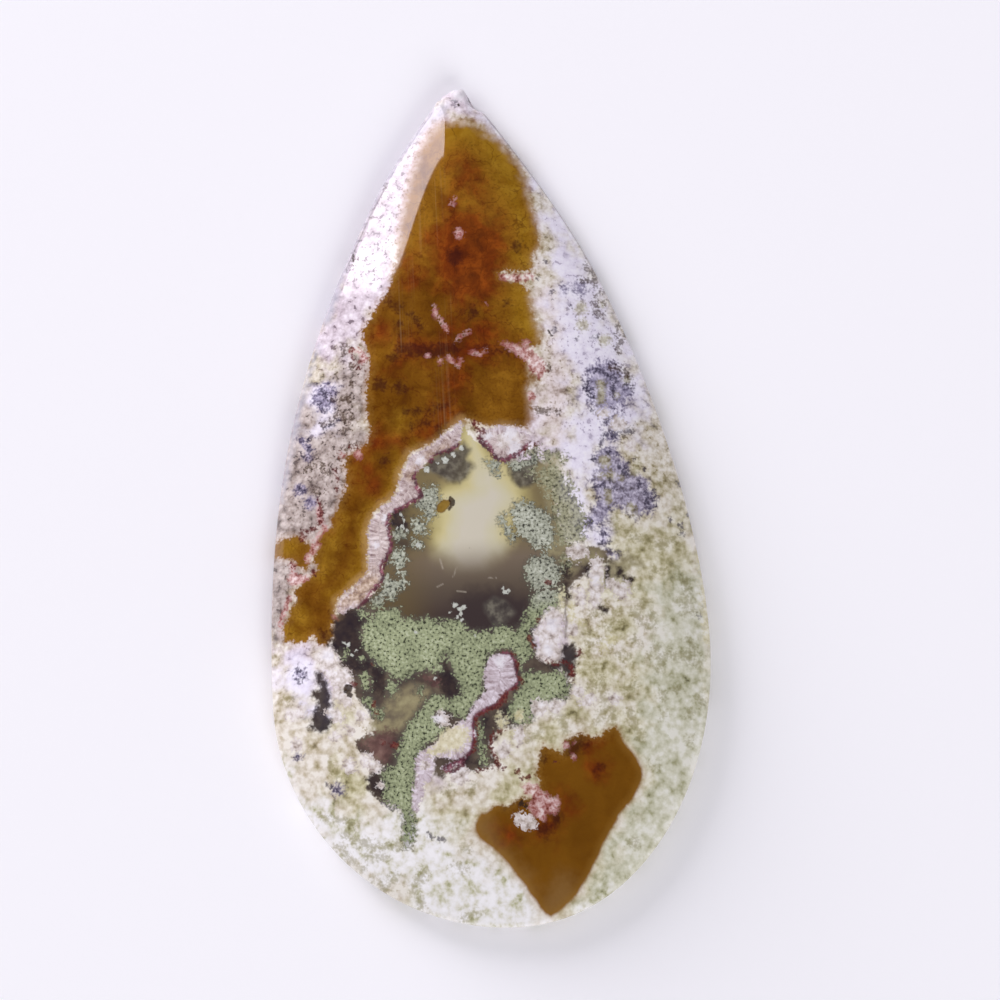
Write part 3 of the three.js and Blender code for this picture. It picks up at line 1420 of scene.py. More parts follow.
CREAM = Tint(
    ((240, 234, 223), (223, 214, 198), (201, 189, 164), (162, 149, 118), (92, 80, 60)),
    contrast=1.1, pits=0.85,
)
TINTS: dict[Mark, Tint] = {
    Mark.BEIGE: Tint(
        ((210, 198, 192), (186, 172, 165), (162, 148, 141), (122, 108, 102), (66, 54, 54)),
        contrast=0.95, pits=0.85,
    ),
    Mark.SAGE: Tint(
        ((238, 236, 224), (222, 220, 200), (204, 202, 176), (172, 170, 136), (104, 100, 74)),
        contrast=1.0, pits=0.6,
    ),
    Mark.PALE: Tint(
        ((254, 252, 254), (247, 245, 245), (233, 230, 220), (198, 196, 162), (126, 127, 92)),
        contrast=1.12, pits=0.5, cover=0.9,
    ),
    Mark.PEACH: Tint(
        ((250, 241, 242), (238, 226, 225), (220, 206, 201), (176, 157, 146), (90, 72, 68)),
        contrast=0.7, pits=0.72,
    ),
    Mark.ROSE: Tint(
        ((250, 243, 249), (231, 219, 227), (205, 190, 198), (158, 141, 150), (74, 60, 68)),
        contrast=0.65, pits=0.84,
    ),
    Mark.LILAC: Tint(
        ((253, 249, 255), (246, 241, 252), (235, 228, 242), (190, 181, 199), (98, 90, 108)),
        contrast=0.62, pits=0.74,
    ),
}

UNDER_COATS: tuple[Layer, ...] = (
    # Painted sheen along the thin left rim, standing for its soft reflection and see-through look.
    Layer(
        Mark.MARGIN_SHEEN, Edge.CLOUDY, Grain.CLOUDS,
        ((198, 196, 207), (172, 168, 180)),
        wander=0.2, soft=0.3, strength=0.8,
    ),
    Layer(
        Mark.OLIVE, Edge.CRUMBLY, Grain.CLOUDS,
        ((176, 168, 126), (126, 118, 80)),
        wander=0.36, soft=0.25, strength=0.5, grow=0.02,
    ),
    Layer(
        Mark.VIOLET, Edge.CRUMBLY, Grain.SPECKLE,
        ((208, 200, 220), (172, 164, 190), (130, 122, 150), (84, 76, 104), (52, 46, 70)),
        wander=0.3, soft=0.25, strength=0.85,
    ),
    Layer(
        Mark.EYE, Edge.CRUMBLY, Grain.PUFFS,
        ((226, 222, 202), (204, 198, 166), (166, 156, 120), (100, 92, 70)),
        wander=0.2, soft=0.2, strength=0.75,
    ),
    Layer(
        Mark.UMBER, Edge.CRUMBLY, Grain.FINE,
        ((156, 138, 118), (92, 74, 58), (58, 42, 36)),
        wander=0.24, soft=0.14, strength=0.75, grow=0.03,
    ),
    Layer(
        Mark.INK, Edge.CRUMBLY, Grain.FINE,
        ((104, 98, 118), (48, 42, 58)),
        wander=0.16, soft=0.1, strength=0.75, grow=0.02,
    ),
)

OVER_COATS: tuple[Layer, ...] = (
    Layer(
        Mark.HAZE, Edge.CLOUDY, Grain.CLOUDS,
        ((176, 168, 128), (148, 138, 106), (106, 95, 83)),
        wander=0.3, soft=0.3, strength=0.92,
    ),
    # Painted shade: the dark clear gaps, coloured with the shade seen through them.
    Layer(
        Mark.PAINTED_SHADE_GAP, Edge.WAVY, Grain.CLOUDS,
        ((76, 64, 58), (58, 48, 48), (44, 37, 44)),
        wander=0.2, soft=0.2, strength=0.96,
    ),
    Layer(
        Mark.RUST, Edge.CRUMBLY, Grain.CLOUDS,
        ((150, 116, 108), (108, 78, 74), (68, 52, 52)),
        wander=0.4, soft=0.3, strength=0.8,
    ),
    Layer(
        Mark.MOSS, Edge.CRUMBLY, Grain.FINE,
        ((112, 110, 98), (64, 60, 56)),
        wander=0.26, soft=0.2, strength=0.7, grow=0.14,
    ),
    Layer(
        Mark.MOSS, Edge.CRUMBLY, Grain.GRANULES,
        ((196, 202, 170), (168, 176, 138), (142, 149, 116), (98, 102, 80), (44, 46, 38)),
        wander=0.36, soft=0.05, strength=0.96,
    ),
    Layer(
        Mark.LICHEN, Edge.CRUMBLY, Grain.GRANULES,
        ((208, 206, 184), (182, 181, 152), (152, 152, 122), (106, 106, 84), (56, 56, 48)),
        wander=0.5, soft=0.2, strength=0.85,
    ),
    Layer(
        Mark.MOSS, Edge.CRUMBLY, Grain.GRANULES,
        ((216, 218, 206), (190, 192, 176), (158, 160, 144), (112, 112, 102), (54, 54, 50)),
        wander=0.36, soft=0.05, strength=0.9, within=Mark.FROST,
    ),
    Layer(
        Mark.CRUST, Edge.CLOUDY, Grain.CLOUDS,
        ((204, 180, 140), (176, 140, 84)),
        wander=0.2, soft=0.4, strength=0.8, grow=0.22, within=Mark.AMBER,
    ),
    Layer(
        Mark.CRUST, Edge.CRUMBLY, Grain.FIBRES,
        ((241, 232, 240), (216, 203, 210), (180, 162, 166), (106, 82, 88)),
        wander=0.2, soft=0.08, grow=0.05,
    ),
    Layer(
        Mark.CRUST, Edge.CRUMBLY, Grain.FIBRES,
        ((232, 218, 206), (196, 174, 158), (138, 112, 100), (80, 56, 58)),
        wander=0.2, soft=0.2, strength=0.55, grow=-0.02, within=Mark.FROST,
    ),
    Layer(
        Mark.CRUST, Edge.CRUMBLY, Grain.PUFFS,
        ((234, 216, 200), (204, 178, 152), (150, 120, 92), (92, 66, 54)),
        wander=0.25, soft=0.25, strength=0.75, grow=-0.02, within=Mark.TAN,
    ),
    Layer(
        Mark.BUTTER, Edge.CRUMBLY, Grain.PUFFS,
        ((242, 238, 214), (224, 216, 178), (192, 182, 138)),
        wander=0.3, soft=0.2, strength=0.85,
    ),
    Layer(
        Mark.TUFT, Edge.CRUMBLY, Grain.PUFFS,
        ((250, 246, 248), (236, 228, 226), (208, 196, 188), (146, 130, 122)),
        wander=0.3, soft=0.1, strength=0.92,
    ),
    Layer(
        Mark.CRYSTAL, Edge.CRUMBLY, Grain.PUFFS,
        ((252, 250, 253), (228, 222, 228)),
        wander=0.2, soft=0.16, strength=0.8,
    ),
    Layer(
        Mark.CRUMB, Edge.CRUMBLY, Grain.FINE,
        ((224, 226, 218), (170, 172, 160)),
        wander=0.1, soft=0.04,
    ),
    Layer(
        Mark.BLUSH, Edge.CRUMBLY, Grain.SPECKLE,
        ((246, 226, 224), (218, 176, 174), (166, 104, 100), (104, 50, 46)),
        wander=0.18, soft=0.12, strength=0.8,
    ),
)

LAST_COATS: tuple[Layer, ...] = (
    Layer(
        Mark.BLOOD, Edge.CRUMBLY, Grain.FINE,
        ((170, 96, 74), (114, 54, 50), (70, 36, 38)),
        wander=0.22, soft=0.1, strength=0.85, grow=-0.03,
    ),
    Layer(
        Mark.NUGGET, Edge.WAVY, Grain.FINE,
        ((126, 92, 40), (92, 66, 34)),
        wander=0.05, soft=0.05, strength=0.9, grow=0.04,
    ),
    Layer(
        Mark.NUGGET, Edge.WAVY, Grain.CLOUDS,
        ((164, 134, 62), (124, 92, 38)),
        wander=0.05, soft=0.08, grow=-0.03,
    ),
    Layer(
        Mark.PIT, Edge.CRUMBLY, Grain.FINE,
        ((70, 52, 38), (38, 30, 30)),
        wander=0.05, soft=0.04, strength=0.9,
    ),
    Layer(
        Mark.SCRATCH, Edge.WAVY, Grain.FINE,
        ((196, 186, 170), (160, 150, 134)),
        wander=0.01, soft=0.04, strength=0.5,
    ),
)


@dataclass(frozen=True)
class Zones:
    """Stretches over which a look comes in, each from where it starts to where it is full.

    They are in millimetres. Places along the stone run from the foot at -25 to the tip at 25,
    and places aside from the left edge at -12.8 to the right edge at 12.8.
    """

    soft_below: Span = (-7.0, -15.0)
    soft_aside: Span = (5.5, 9.5)
    soft_aside_below: Span = (3.0, -4.0)
    stained_below: Span = (3.0, -5.0)
    stained_aside: Span = (-10.0, 10.0)
    heart_below: Span = (-8.0, -12.0)
    heart_smooth_below: Span = (-17.6, -18.8)
    heart_smooth_aside: Span = (6.4, 7.6)
    amber_lighter_above: Span = (8.0, 17.0)
    # The window's painted shade darkens over this stretch downwards.
    window_painted_shade_below: Span = (-2.6, -8.6)
    window_olive_aside: Span = (-2.4, -5.2)
    # The window's painted light grows whiter lower down, and fades out below the second stretch.
    painted_glow_whiter_below: Span = (-2.4, -4.0)
    painted_glow_above: Span = (-5.3, -2.7)


@dataclass(frozen=True)
class AmberTones:
    """The colours of the amber, from light to dark where there are several."""

    body: Tones = ((152, 105, 30), (124, 80, 20), (100, 60, 13), (80, 42, 15))
    # Partly painted light: the yellow where light shines through the amber's thin edges.
    gold_glow: Tones = ((170, 130, 40), (144, 102, 20))
    heart_gold: Rgb = (138, 102, 56)
    ember: Tones = ((142, 60, 20), (112, 40, 16), (84, 26, 16))
    thread: Rgb = (80, 34, 12)
    dot: Rgb = (78, 38, 14)
    shade: Rgb = (56, 22, 20)
    # A lighter band just inside the amber's edge, partly painted light shining through it.
    border: Rgb = (160, 118, 52)
    # Painted reflection: the light tone of the polishing lines.
    streak_sheen: Rgb = (200, 170, 120)
    halo: Rgb = (184, 150, 118)


@dataclass(frozen=True)
class WindowTones:
    """The colours of the clear window: painted light and shade seen through it, downwards or from
    the bright part's edge to its middle, and the olive and the murk of the stone itself.
    """

    # Painted shade: the window's tones darkening downwards.
    body: Tones = ((128, 114, 82), (122, 108, 92), (98, 86, 74), (74, 62, 58), (66, 55, 53))
    olive: Rgb = (108, 92, 58)
    # Painted light: the tones of the bright part seen through the window.
    painted_glow: Tones = (
        (168, 154, 104), (196, 183, 124), (206, 195, 146), (208, 201, 170), (210, 203, 184),
    )
    # Painted shade: the darkest part at the window's bottom.
    painted_dusk_shade: Rgb = (64, 54, 54)
    murk: Tones = ((122, 117, 104), (91, 85, 78), (71, 65, 62))


@dataclass(frozen=True)
class OtherTones:
    """The colours of the olive stain, the painted shade seen through the stone around the moss,
    the crust's rims, and the fine veins with their painted dark edge lines.
    """

    olive: Tones = ((238, 234, 206), (212, 207, 164), (170, 166, 116), (98, 92, 62))
    # Painted shade seen through the clear stone around the moss.
    painted_see_through_shade: Tones = ((112, 100, 84), (88, 76, 68), (68, 58, 56))
    rim: Tones = ((156, 92, 108), (96, 42, 56), (64, 34, 42))
    # A dark line colour, also used for painted dark edge lines along the upper rims.
    vein_and_edge_shade: Rgb = (110, 98, 96)


@dataclass
class PolishedAgate:
    """The stone's finish: coloured all through, with a high polish and a rough broken tip.

    Patterns run from 0, light, to 1, dark, so the weights in a sum of them add up to about one.
    Their sizes are in millimetres.
    """

    roughness: float = 0.045
    broken_roughness: float = 0.35
    refraction: float = 1.54
    fine_size: float = 0.15
    mid_size: float = 0.42
    wide_size: float = 1.3
    broad_size: float = 3.4
    lump_size: float = 0.95
    small_lump_size: float = 0.40
    grain_size: float = 0.17
    pinhole_size: float = 0.27
    zones: Zones = Zones()
    amber_tones: AmberTones = AmberTones()
    window_tones: WindowTones = WindowTones()
    other_tones: OtherTones = OtherTones()

    def __post_init__(self) -> None:
        """Prepares the patterns that the coats share."""
        self.graph = graph = Graph("polished_agate")
        self.flat = flat = graph.spot("flat")
        split = graph.make("ShaderNodeSeparateXYZ")
        graph.feed(split.inputs[0], flat)
        self.aside, self.ahead = (Signal(graph, socket) for socket in split.outputs[:2])
        self.fine = graph.noise(flat, self.fine_size, detail=1.0)
        self.mid = graph.noise(flat, self.mid_size, detail=2.0)
        self.wide = graph.noise(flat, self.wide_size, detail=3.0)
        self.broad = graph.noise(flat, self.broad_size, detail=2.0)
        self.edges = {
            Edge.CLOUDY: self.wide * 0.7 + self.mid * 0.3 - 0.5,
            Edge.WAVY: self.mid * 0.7 + self.fine * 0.3 - 0.5,
            Edge.CRUMBLY: self.mid * 0.5 + self.fine * 0.5 - 0.5,
        }
        self.big = graph.cells(graph.bend(flat, size=0.7, amount=0.45), self.lump_size)
        self.small = graph.cells(graph.bend(flat, size=0.3, amount=0.12), self.small_lump_size)
        self.tiny = graph.cells(graph.moved(flat, (7.0, 3.0, 0.0)), self.pinhole_size)

    def depth(self, mark: Mark, edge: Edge, wander: object) -> Signal:
        """How deep inside a marking a place lies, once its edge wanders.

        Args:
            mark: The marking.
            edge: How its edge wanders.
            wander: From how far out to how far in it wanders, in millimetres.

        Returns:
            The depth in millimetres, negative outside.
        """
        return self.graph.mark(mark.value) + self.edges[edge] * wander

    def cloud(self, mark: Mark, soft: float, wander: float) -> Signal:
        """A soft mask of a marking with cloudy edges.

        Args:
            mark: The marking.
            soft: How far its edge fades to each side, in millimetres.
            wander: How far its edge wanders to each side, in millimetres.

        Returns:
            The mask, from 0 to 1.
        """
        return self.depth(mark, Edge.CLOUDY, 2 * wander).step(-soft, soft)

    def mask(self, layer: Layer) -> Signal:
        """Where a coat lies.

        Args:
            layer: The coat.

        Returns:
            Its cover, from 0 to 1.
        """
        depth = self.depth(layer.mark, layer.edge, 2 * layer.wander)
        share = (depth + layer.grow).step(-layer.soft, layer.soft) * layer.strength
        if layer.within is None:
            return share
        return share * self.cloud(layer.within, soft=0.6, wander=0.4)

    def grain(self, kind: Grain) -> Signal:
        """The pattern inside a marking.

        Args:
            kind: Which pattern.

        Returns:
            The pattern, from 0, light, to 1, dark.
        """
        if kind is Grain.CLOUDS:
            return self.wide * 0.6 + self.mid * 0.4
        if kind is Grain.PUFFS:
            return self.small.span(0.1, 0.75) * 0.5 + self.mid * 0.35 + self.fine * 0.3 - 0.1
        if kind is Grain.GRANULES:
            return self.granules()
        if kind is Grain.FIBRES:
            return self.fibres()
        if kind is Grain.SPECKLE:
            return self.fine * 0.4 + self.small.span(0.1, 0.8) * 0.4 + self.mid * 0.5 - 0.22
        return self.fine * 0.65 + self.mid * 0.35

    def granules(self) -> Signal:
        """Moss grains: a pale mesh with dark pinholes, darker along the moss's edge.

        Returns:
            The pattern, from 0, light, to 1, dark.
        """
        grains = self.graph.noise(self.flat, self.grain_size, detail=1.0, rough=0.6)
        border = self.graph.mark(Mark.MOSS.value).step(0.7, 0.0) * 0.14
        pinholes = self.tiny.span(0.0, 0.8) * 0.16
        soft = grains.inverse() * 0.5 + pinholes + self.wide * 0.24 + border - 0.1
        return soft.most(grains.step(0.24, 0.05) * 0.95)

    def fibres(self) -> Signal:
        """Fine threads square to a white form's edge.

        Returns:
            The pattern, from 0, light, to 1, dark.
        """
        graph = self.graph
        place = graph.make("ShaderNodeCombineXYZ")
        graph.feed(place.inputs[0], graph.mark("run") * 3.4)
        graph.feed(place.inputs[1], graph.mark(Mark.CRUST.value) * 0.8 + self.wide * 0.4)
        thread = graph.noise(Signal(graph, place.outputs[0]), size=0.7, detail=3.0, rough=0.6)
        return thread * 0.66 + self.fine * 0.14 + self.wide * 0.2 - 0.07

    def sheen_streaks(self) -> Signal:
        """Faint upright polishing lines, painted lighter as a faint reflection along the
        highlight.

        Returns:
            Their cover, from 0 to 1.
        """
        graph = self.graph
        drawn = graph.make("ShaderNodeVectorMath", operation="MULTIPLY")
        graph.feed(drawn.inputs[0], self.flat)
        drawn.inputs[1].default_value = (8.0, 0.09, 1.0)
        lines = graph.noise(Signal(graph, drawn.outputs[0]), size=1.0)
        return lines.step(0.4, 1.1) * self.cloud(Mark.STREAK_SHEEN, soft=0.6, wander=0.2)

    def soft_focus(self) -> Signal:
        """Where the crystal mass looks softer: at the foot and along the lower right.

        Returns:
            The softness, from 0 to 1.
        """
        right = self.aside.step(*self.zones.soft_aside)
        right = right * self.ahead.step(*self.zones.soft_aside_below)
        return self.ahead.step(*self.zones.soft_below).most(right)

    def lumps(self, soft: Signal) -> Signal:
        """The lumps of the crystal mass.

        Args:
            soft: Where they look softer, from 0 to 1.

        Returns:
            The pattern, from 0, light, to 1, dark.
        """
        return (
            self.big.span(0.1, 0.85) * 0.4
            + self.small.span(0.1, 0.75) * (soft * -0.14 + 0.3)
            + (self.mid - 0.5) * 0.44
            + (self.wide - 0.4) * (soft * 0.34)
            + (self.fine - 0.5) * (soft.inverse() * 0.2 + 0.04)
            + (self.broad - 0.5) * 0.24
            + 0.04
        )

    def pits(self, soft: Signal) -> Signal:
        """The dark gaps and dots between the lumps.

        Args:
            soft: Where they look softer, from 0 to 1.

        Returns:
            The pits, from 0 to 1.
        """
        gaps = self.small.step(0.56, 0.72) * self.mid.step(0.35, 0.7)
        dotted = self.depth(Mark.DOTTED, Edge.CLOUDY, wander=1.0).step(-0.8, 0.6)
        dots = self.fine.step(0.66, 0.84) * self.mid.step(0.25, 0.7) * (dotted * 0.7 + 0.3)
        return gaps.most(dots) * (soft * -0.45 + 1.0)

    def tinted(self, tint: Tint, lumps: Signal, pits: Signal) -> Signal:
        """The crystal mass in one tint.

        Args:
            tint: The tint.
            lumps: The pattern of its lumps.
            pits: The pattern of its pits.

        Returns:
            Its colour.
        """
        tone = lumps * tint.contrast + 0.4 * (1 - tint.contrast)
        return self.graph.ramp(tone.most(pits * tint.pits), *tint.tones)

    def ground(self) -> Signal:
        """The crystal mass between the markings: lumps with dark pits, in several tints.

        Returns:
            Its colour.
        """
        graph, zones = self.graph, self.zones
        soft = self.soft_focus()
        lumps, pits = self.lumps(soft), self.pits(soft)
        color = self.tinted(CREAM, lumps, pits)
        stain = self.broad * 0.6 + self.wide * 0.4 + self.aside.span(*zones.stained_aside) * 0.3
        stain = stain.step(0.45, 0.9) * (self.ahead.step(*zones.stained_below) * 0.5 + 0.05)
        olive = graph.ramp(lumps.most(pits * 0.7), *self.other_tones.olive)
        color = graph.mix(stain, color, olive)
        for mark, tint in TINTS.items():
            share = (graph.mark(mark.value) + (self.wide - 0.5) * 1.6).step(-0.9, 0.9)
            color = graph.mix(share * tint.cover, color, self.tinted(tint, lumps, pits))
        return color

    def coat(self, color: Signal, layer: Layer) -> Signal:
        """Lays one coat over the colour so far.

        Args:
            color: The colour so far.
            layer: The coat.

        Returns:
            The colour with the coat.
        """
        tones = self.graph.ramp(self.grain(layer.grain), *layer.tones)
        return self.graph.mix(self.mask(layer), color, tones)

    def amber_body(self, heart: Signal) -> Signal:
        """The amber's flowing browns, its yellow edges and its embers. The yellow is partly the
        amber's own and partly painted light shining through its thin edges.

        Args:
            heart: Where the lower amber, the heart, lies.

        Returns:
            Its colour.
        """
        graph, tones = self.graph, self.amber_tones
        bent = graph.bend(self.flat, size=1.6, amount=0.7)
        flow = graph.noise(bent, size=1.0, detail=5.0, rough=0.62)
        lighter = self.ahead.step(*self.zones.amber_lighter_above) * 0.46
        tone = flow * 0.4 + self.broad * 0.5 + 0.05 - lighter
        tone = tone + (tone.inverse() - 0.62) * (heart * 0.7)
        gold_glow = graph.mix(heart, graph.ramp(flow, *tones.gold_glow), linear(tones.heart_gold))
        # The yellow edges: partly the amber's own colour, partly painted light shining through
        # them.
        gold_glow_share = self.cloud(Mark.GOLD_GLOW, soft=0.8, wander=0.4) * 0.85
        warm = graph.mix(gold_glow_share, graph.ramp(tone, *tones.body), gold_glow)
        glowing = self.cloud(Mark.EMBER, soft=0.9, wander=0.6) * 0.8
        return graph.mix(glowing, warm, graph.ramp(flow, *tones.ember))

    def amber_flecks(self, warm: Signal, heart: Signal, faded: Signal) -> Signal:
        """Lays dark threads, dots and shades over the amber.

        Args:
            warm: The amber's colour.
            heart: Where the lower amber lies, which has few of them.
            faded: Where the amber's edge is faded, which has no dots.

        Returns:
            The colour with them.
        """
        graph, tones = self.graph, self.amber_tones
        bent = graph.bend(self.flat, size=0.9, amount=0.9)
        walls = graph.cells(bent, size=1.6, feature="DISTANCE_TO_EDGE")
        threads = walls.step(0.05, 0.0) * self.wide.step(0.4, 0.75) * heart.inverse() * 0.5
        warm = graph.mix(threads, warm, linear(tones.thread))
        dots = self.fine.step(0.45, 0.95) * (self.mid * 0.7 + 0.3)
        dots = dots * (heart.inverse() * 0.3 + 0.06)
        warm = graph.mix(dots * faded.inverse(), warm, linear(tones.dot))
        shade = self.depth(Mark.SHADE, Edge.WAVY, wander=0.5).step(-0.3, 0.3) * 0.7
        return graph.mix(shade, warm, linear(tones.shade))

    def amber(self, color: Signal) -> Signal:
        """Lays the amber, crisp or faded at its edge, with a thin halo around it.

        Args:
            color: The colour so far.

        Returns:
            The colour with the amber.
        """
        graph, tones, zones = self.graph, self.amber_tones, self.zones
        heart = self.ahead.step(*zones.heart_below)
        faded = self.cloud(Mark.FADE, soft=0.4, wander=0.2)
        warm = self.amber_flecks(self.amber_body(heart), heart, faded)
        smooth = self.aside.step(*zones.heart_smooth_aside) * heart
        smooth = self.ahead.step(*zones.heart_smooth_below).most(smooth)
        edge = self.depth(Mark.AMBER, Edge.CRUMBLY, smooth * -0.3 + 0.34)
        # A lighter band inside the amber's edge, partly painted light shining through the thin
        # amber.
        warm = graph.mix(edge.step(0.6, 0.0) * 0.35, warm, linear(tones.border))
        # Painted reflection: polishing lines lit by a faint reflection along the highlight's edge.
        warm = graph.mix(self.sheen_streaks() * 0.15, warm, linear(tones.streak_sheen))
        crisp = edge.step(-0.1, 0.12)
        dim = self.depth(Mark.AMBER, Edge.CLOUDY, wander=0.5).step(-0.4, 0.6)
        color = graph.mix(edge.step(-0.4, 0.1) * 0.4, color, linear(tones.halo))
        return graph.mix(crisp + (dim - crisp) * faded, color, warm)

    def window(self, color: Signal) -> Signal:
        """Lays the clearer window: painted light above that sinks into brown and dark painted
        shade.

        Args:
            color: The colour so far.

        Returns:
            The colour with the window.
        """
        graph, tones, zones = self.graph, self.window_tones, self.zones
        # Painted shade: the window darkens downwards with the shade seen through it.
        deep = graph.ramp(self.ahead.span(*zones.window_painted_shade_below), *tones.body)
        olive = self.aside.step(*zones.window_olive_aside) * 0.6
        deep = graph.mix(olive, deep, linear(tones.olive))
        # Painted light: the bright part seen through the upper window.
        painted_glow = graph.mark(Mark.PAINTED_GLOW.value) + (self.broad - 0.5) * 0.6 + (self.wide - 0.5) * 0.3
        white = self.ahead.step(*zones.painted_glow_whiter_below) * 0.5
        pale = graph.ramp(painted_glow.span(-0.3, 2.0) + white, *tones.painted_glow)
        share = painted_glow.step(-0.7, 0.9) * self.ahead.step(*zones.painted_glow_above)
        deep = graph.mix(share, deep, pale)
        # Painted shade: the darkest part at the window's bottom.
        painted_dusk_shade = self.cloud(Mark.PAINTED_DUSK_SHADE, soft=0.6, wander=0.3) * 0.85
        deep = graph.mix(painted_dusk_shade, deep, linear(tones.painted_dusk_shade))
        murk = self.cloud(Mark.MURK, soft=0.22, wander=0.16) * 0.9
        deep = graph.mix(murk, deep, graph.ramp(self.mid, *tones.murk))
        edge = self.depth(Mark.WINDOW, Edge.CRUMBLY, wander=0.2)
        return graph.mix((edge + 0.12).step(-0.08, 0.08), color, deep)

    def rims(self, color: Signal) -> Signal:
        """Lays dark magenta seams where the white forms meet the window and the moss.

        Args:
            color: The colour so far.

        Returns:
            The colour with the seams.
        """
        graph = self.graph
        seam = self.depth(Mark.CRUST, Edge.CRUMBLY, wander=0.4)
        band = seam.step(-0.24, -0.06) * seam.step(0.26, 0.02)
        zone = graph.mark(Mark.RIM.value).step(-0.05, 0.12)
        return graph.mix(band * zone * 0.92, color, graph.ramp(self.mid, *self.other_tones.rim))

    def color(self) -> Signal:
        """Lays the stone's colour, from the ground up to the last specks.

        Returns:
            The colour.
        """
        graph, tones = self.graph, self.other_tones
        color = self.ground()
        for layer in UNDER_COATS:
            color = self.coat(color, layer)
        # Painted shade: the dark field around the moss, seen through the clear stone.
        painted_see_through_shade = self.depth(Mark.PAINTED_SEE_THROUGH_SHADE, Edge.WAVY, wander=0.4).step(-0.15, 0.15)
        color = graph.mix(painted_see_through_shade, color, graph.ramp(self.wide, *tones.painted_see_through_shade))
        color = self.window(self.amber(color))
        for layer in OVER_COATS:
            color = self.coat(color, layer)
        color = self.rims(color)
        for layer in LAST_COATS:
            color = self.coat(color, layer)
        # Fine dark veins, and painted dark edge lines along the upper rims.
        line = graph.mark(Mark.VEIN_AND_EDGE_SHADE.value).step(-0.03, 0.04) * 0.55
        return graph.mix(line, color, linear(tones.vein_and_edge_shade))

    def finish(self) -> bpy.types.Material:
        """Joins the colour, the polish and the rough tip in the shader.

        Returns:
            The material.
        """
        graph = self.graph
        shader = graph.make("ShaderNodeBsdfPrincipled")
        shader.inputs["IOR"].default_value = self.refraction
        rough = graph.mark("broken") * self.broken_roughness + self.roughness
        graph.feed(shader.inputs["Base Color"], self.color())
        graph.feed(shader.inputs["Roughness"], rough)
        graph.feed(graph.output.inputs["Surface"], shader.outputs[0])
        return graph.material


@dataclass(frozen=True)
class TablePaint:
    """The table's matt, nearly white paint."""

    color: Rgb = (253, 252, 255)
    roughness: float = 0.8
    shine: float = 0.2

    def finish(self) -> bpy.types.Material:
        """Makes the paint.

        Returns:
            The material.
        """
        graph = Graph("table_paint")
        shader = graph.make("ShaderNodeBsdfPrincipled")
        shader.inputs["Base Color"].default_value = linear(self.color)
        shader.inputs["Roughness"].default_value = self.roughness
        shader.inputs["Specular IOR Level"].default_value = self.shine
        graph.feed(graph.output.inputs["Surface"], shader.outputs[0])
        return graph.material


# The stone


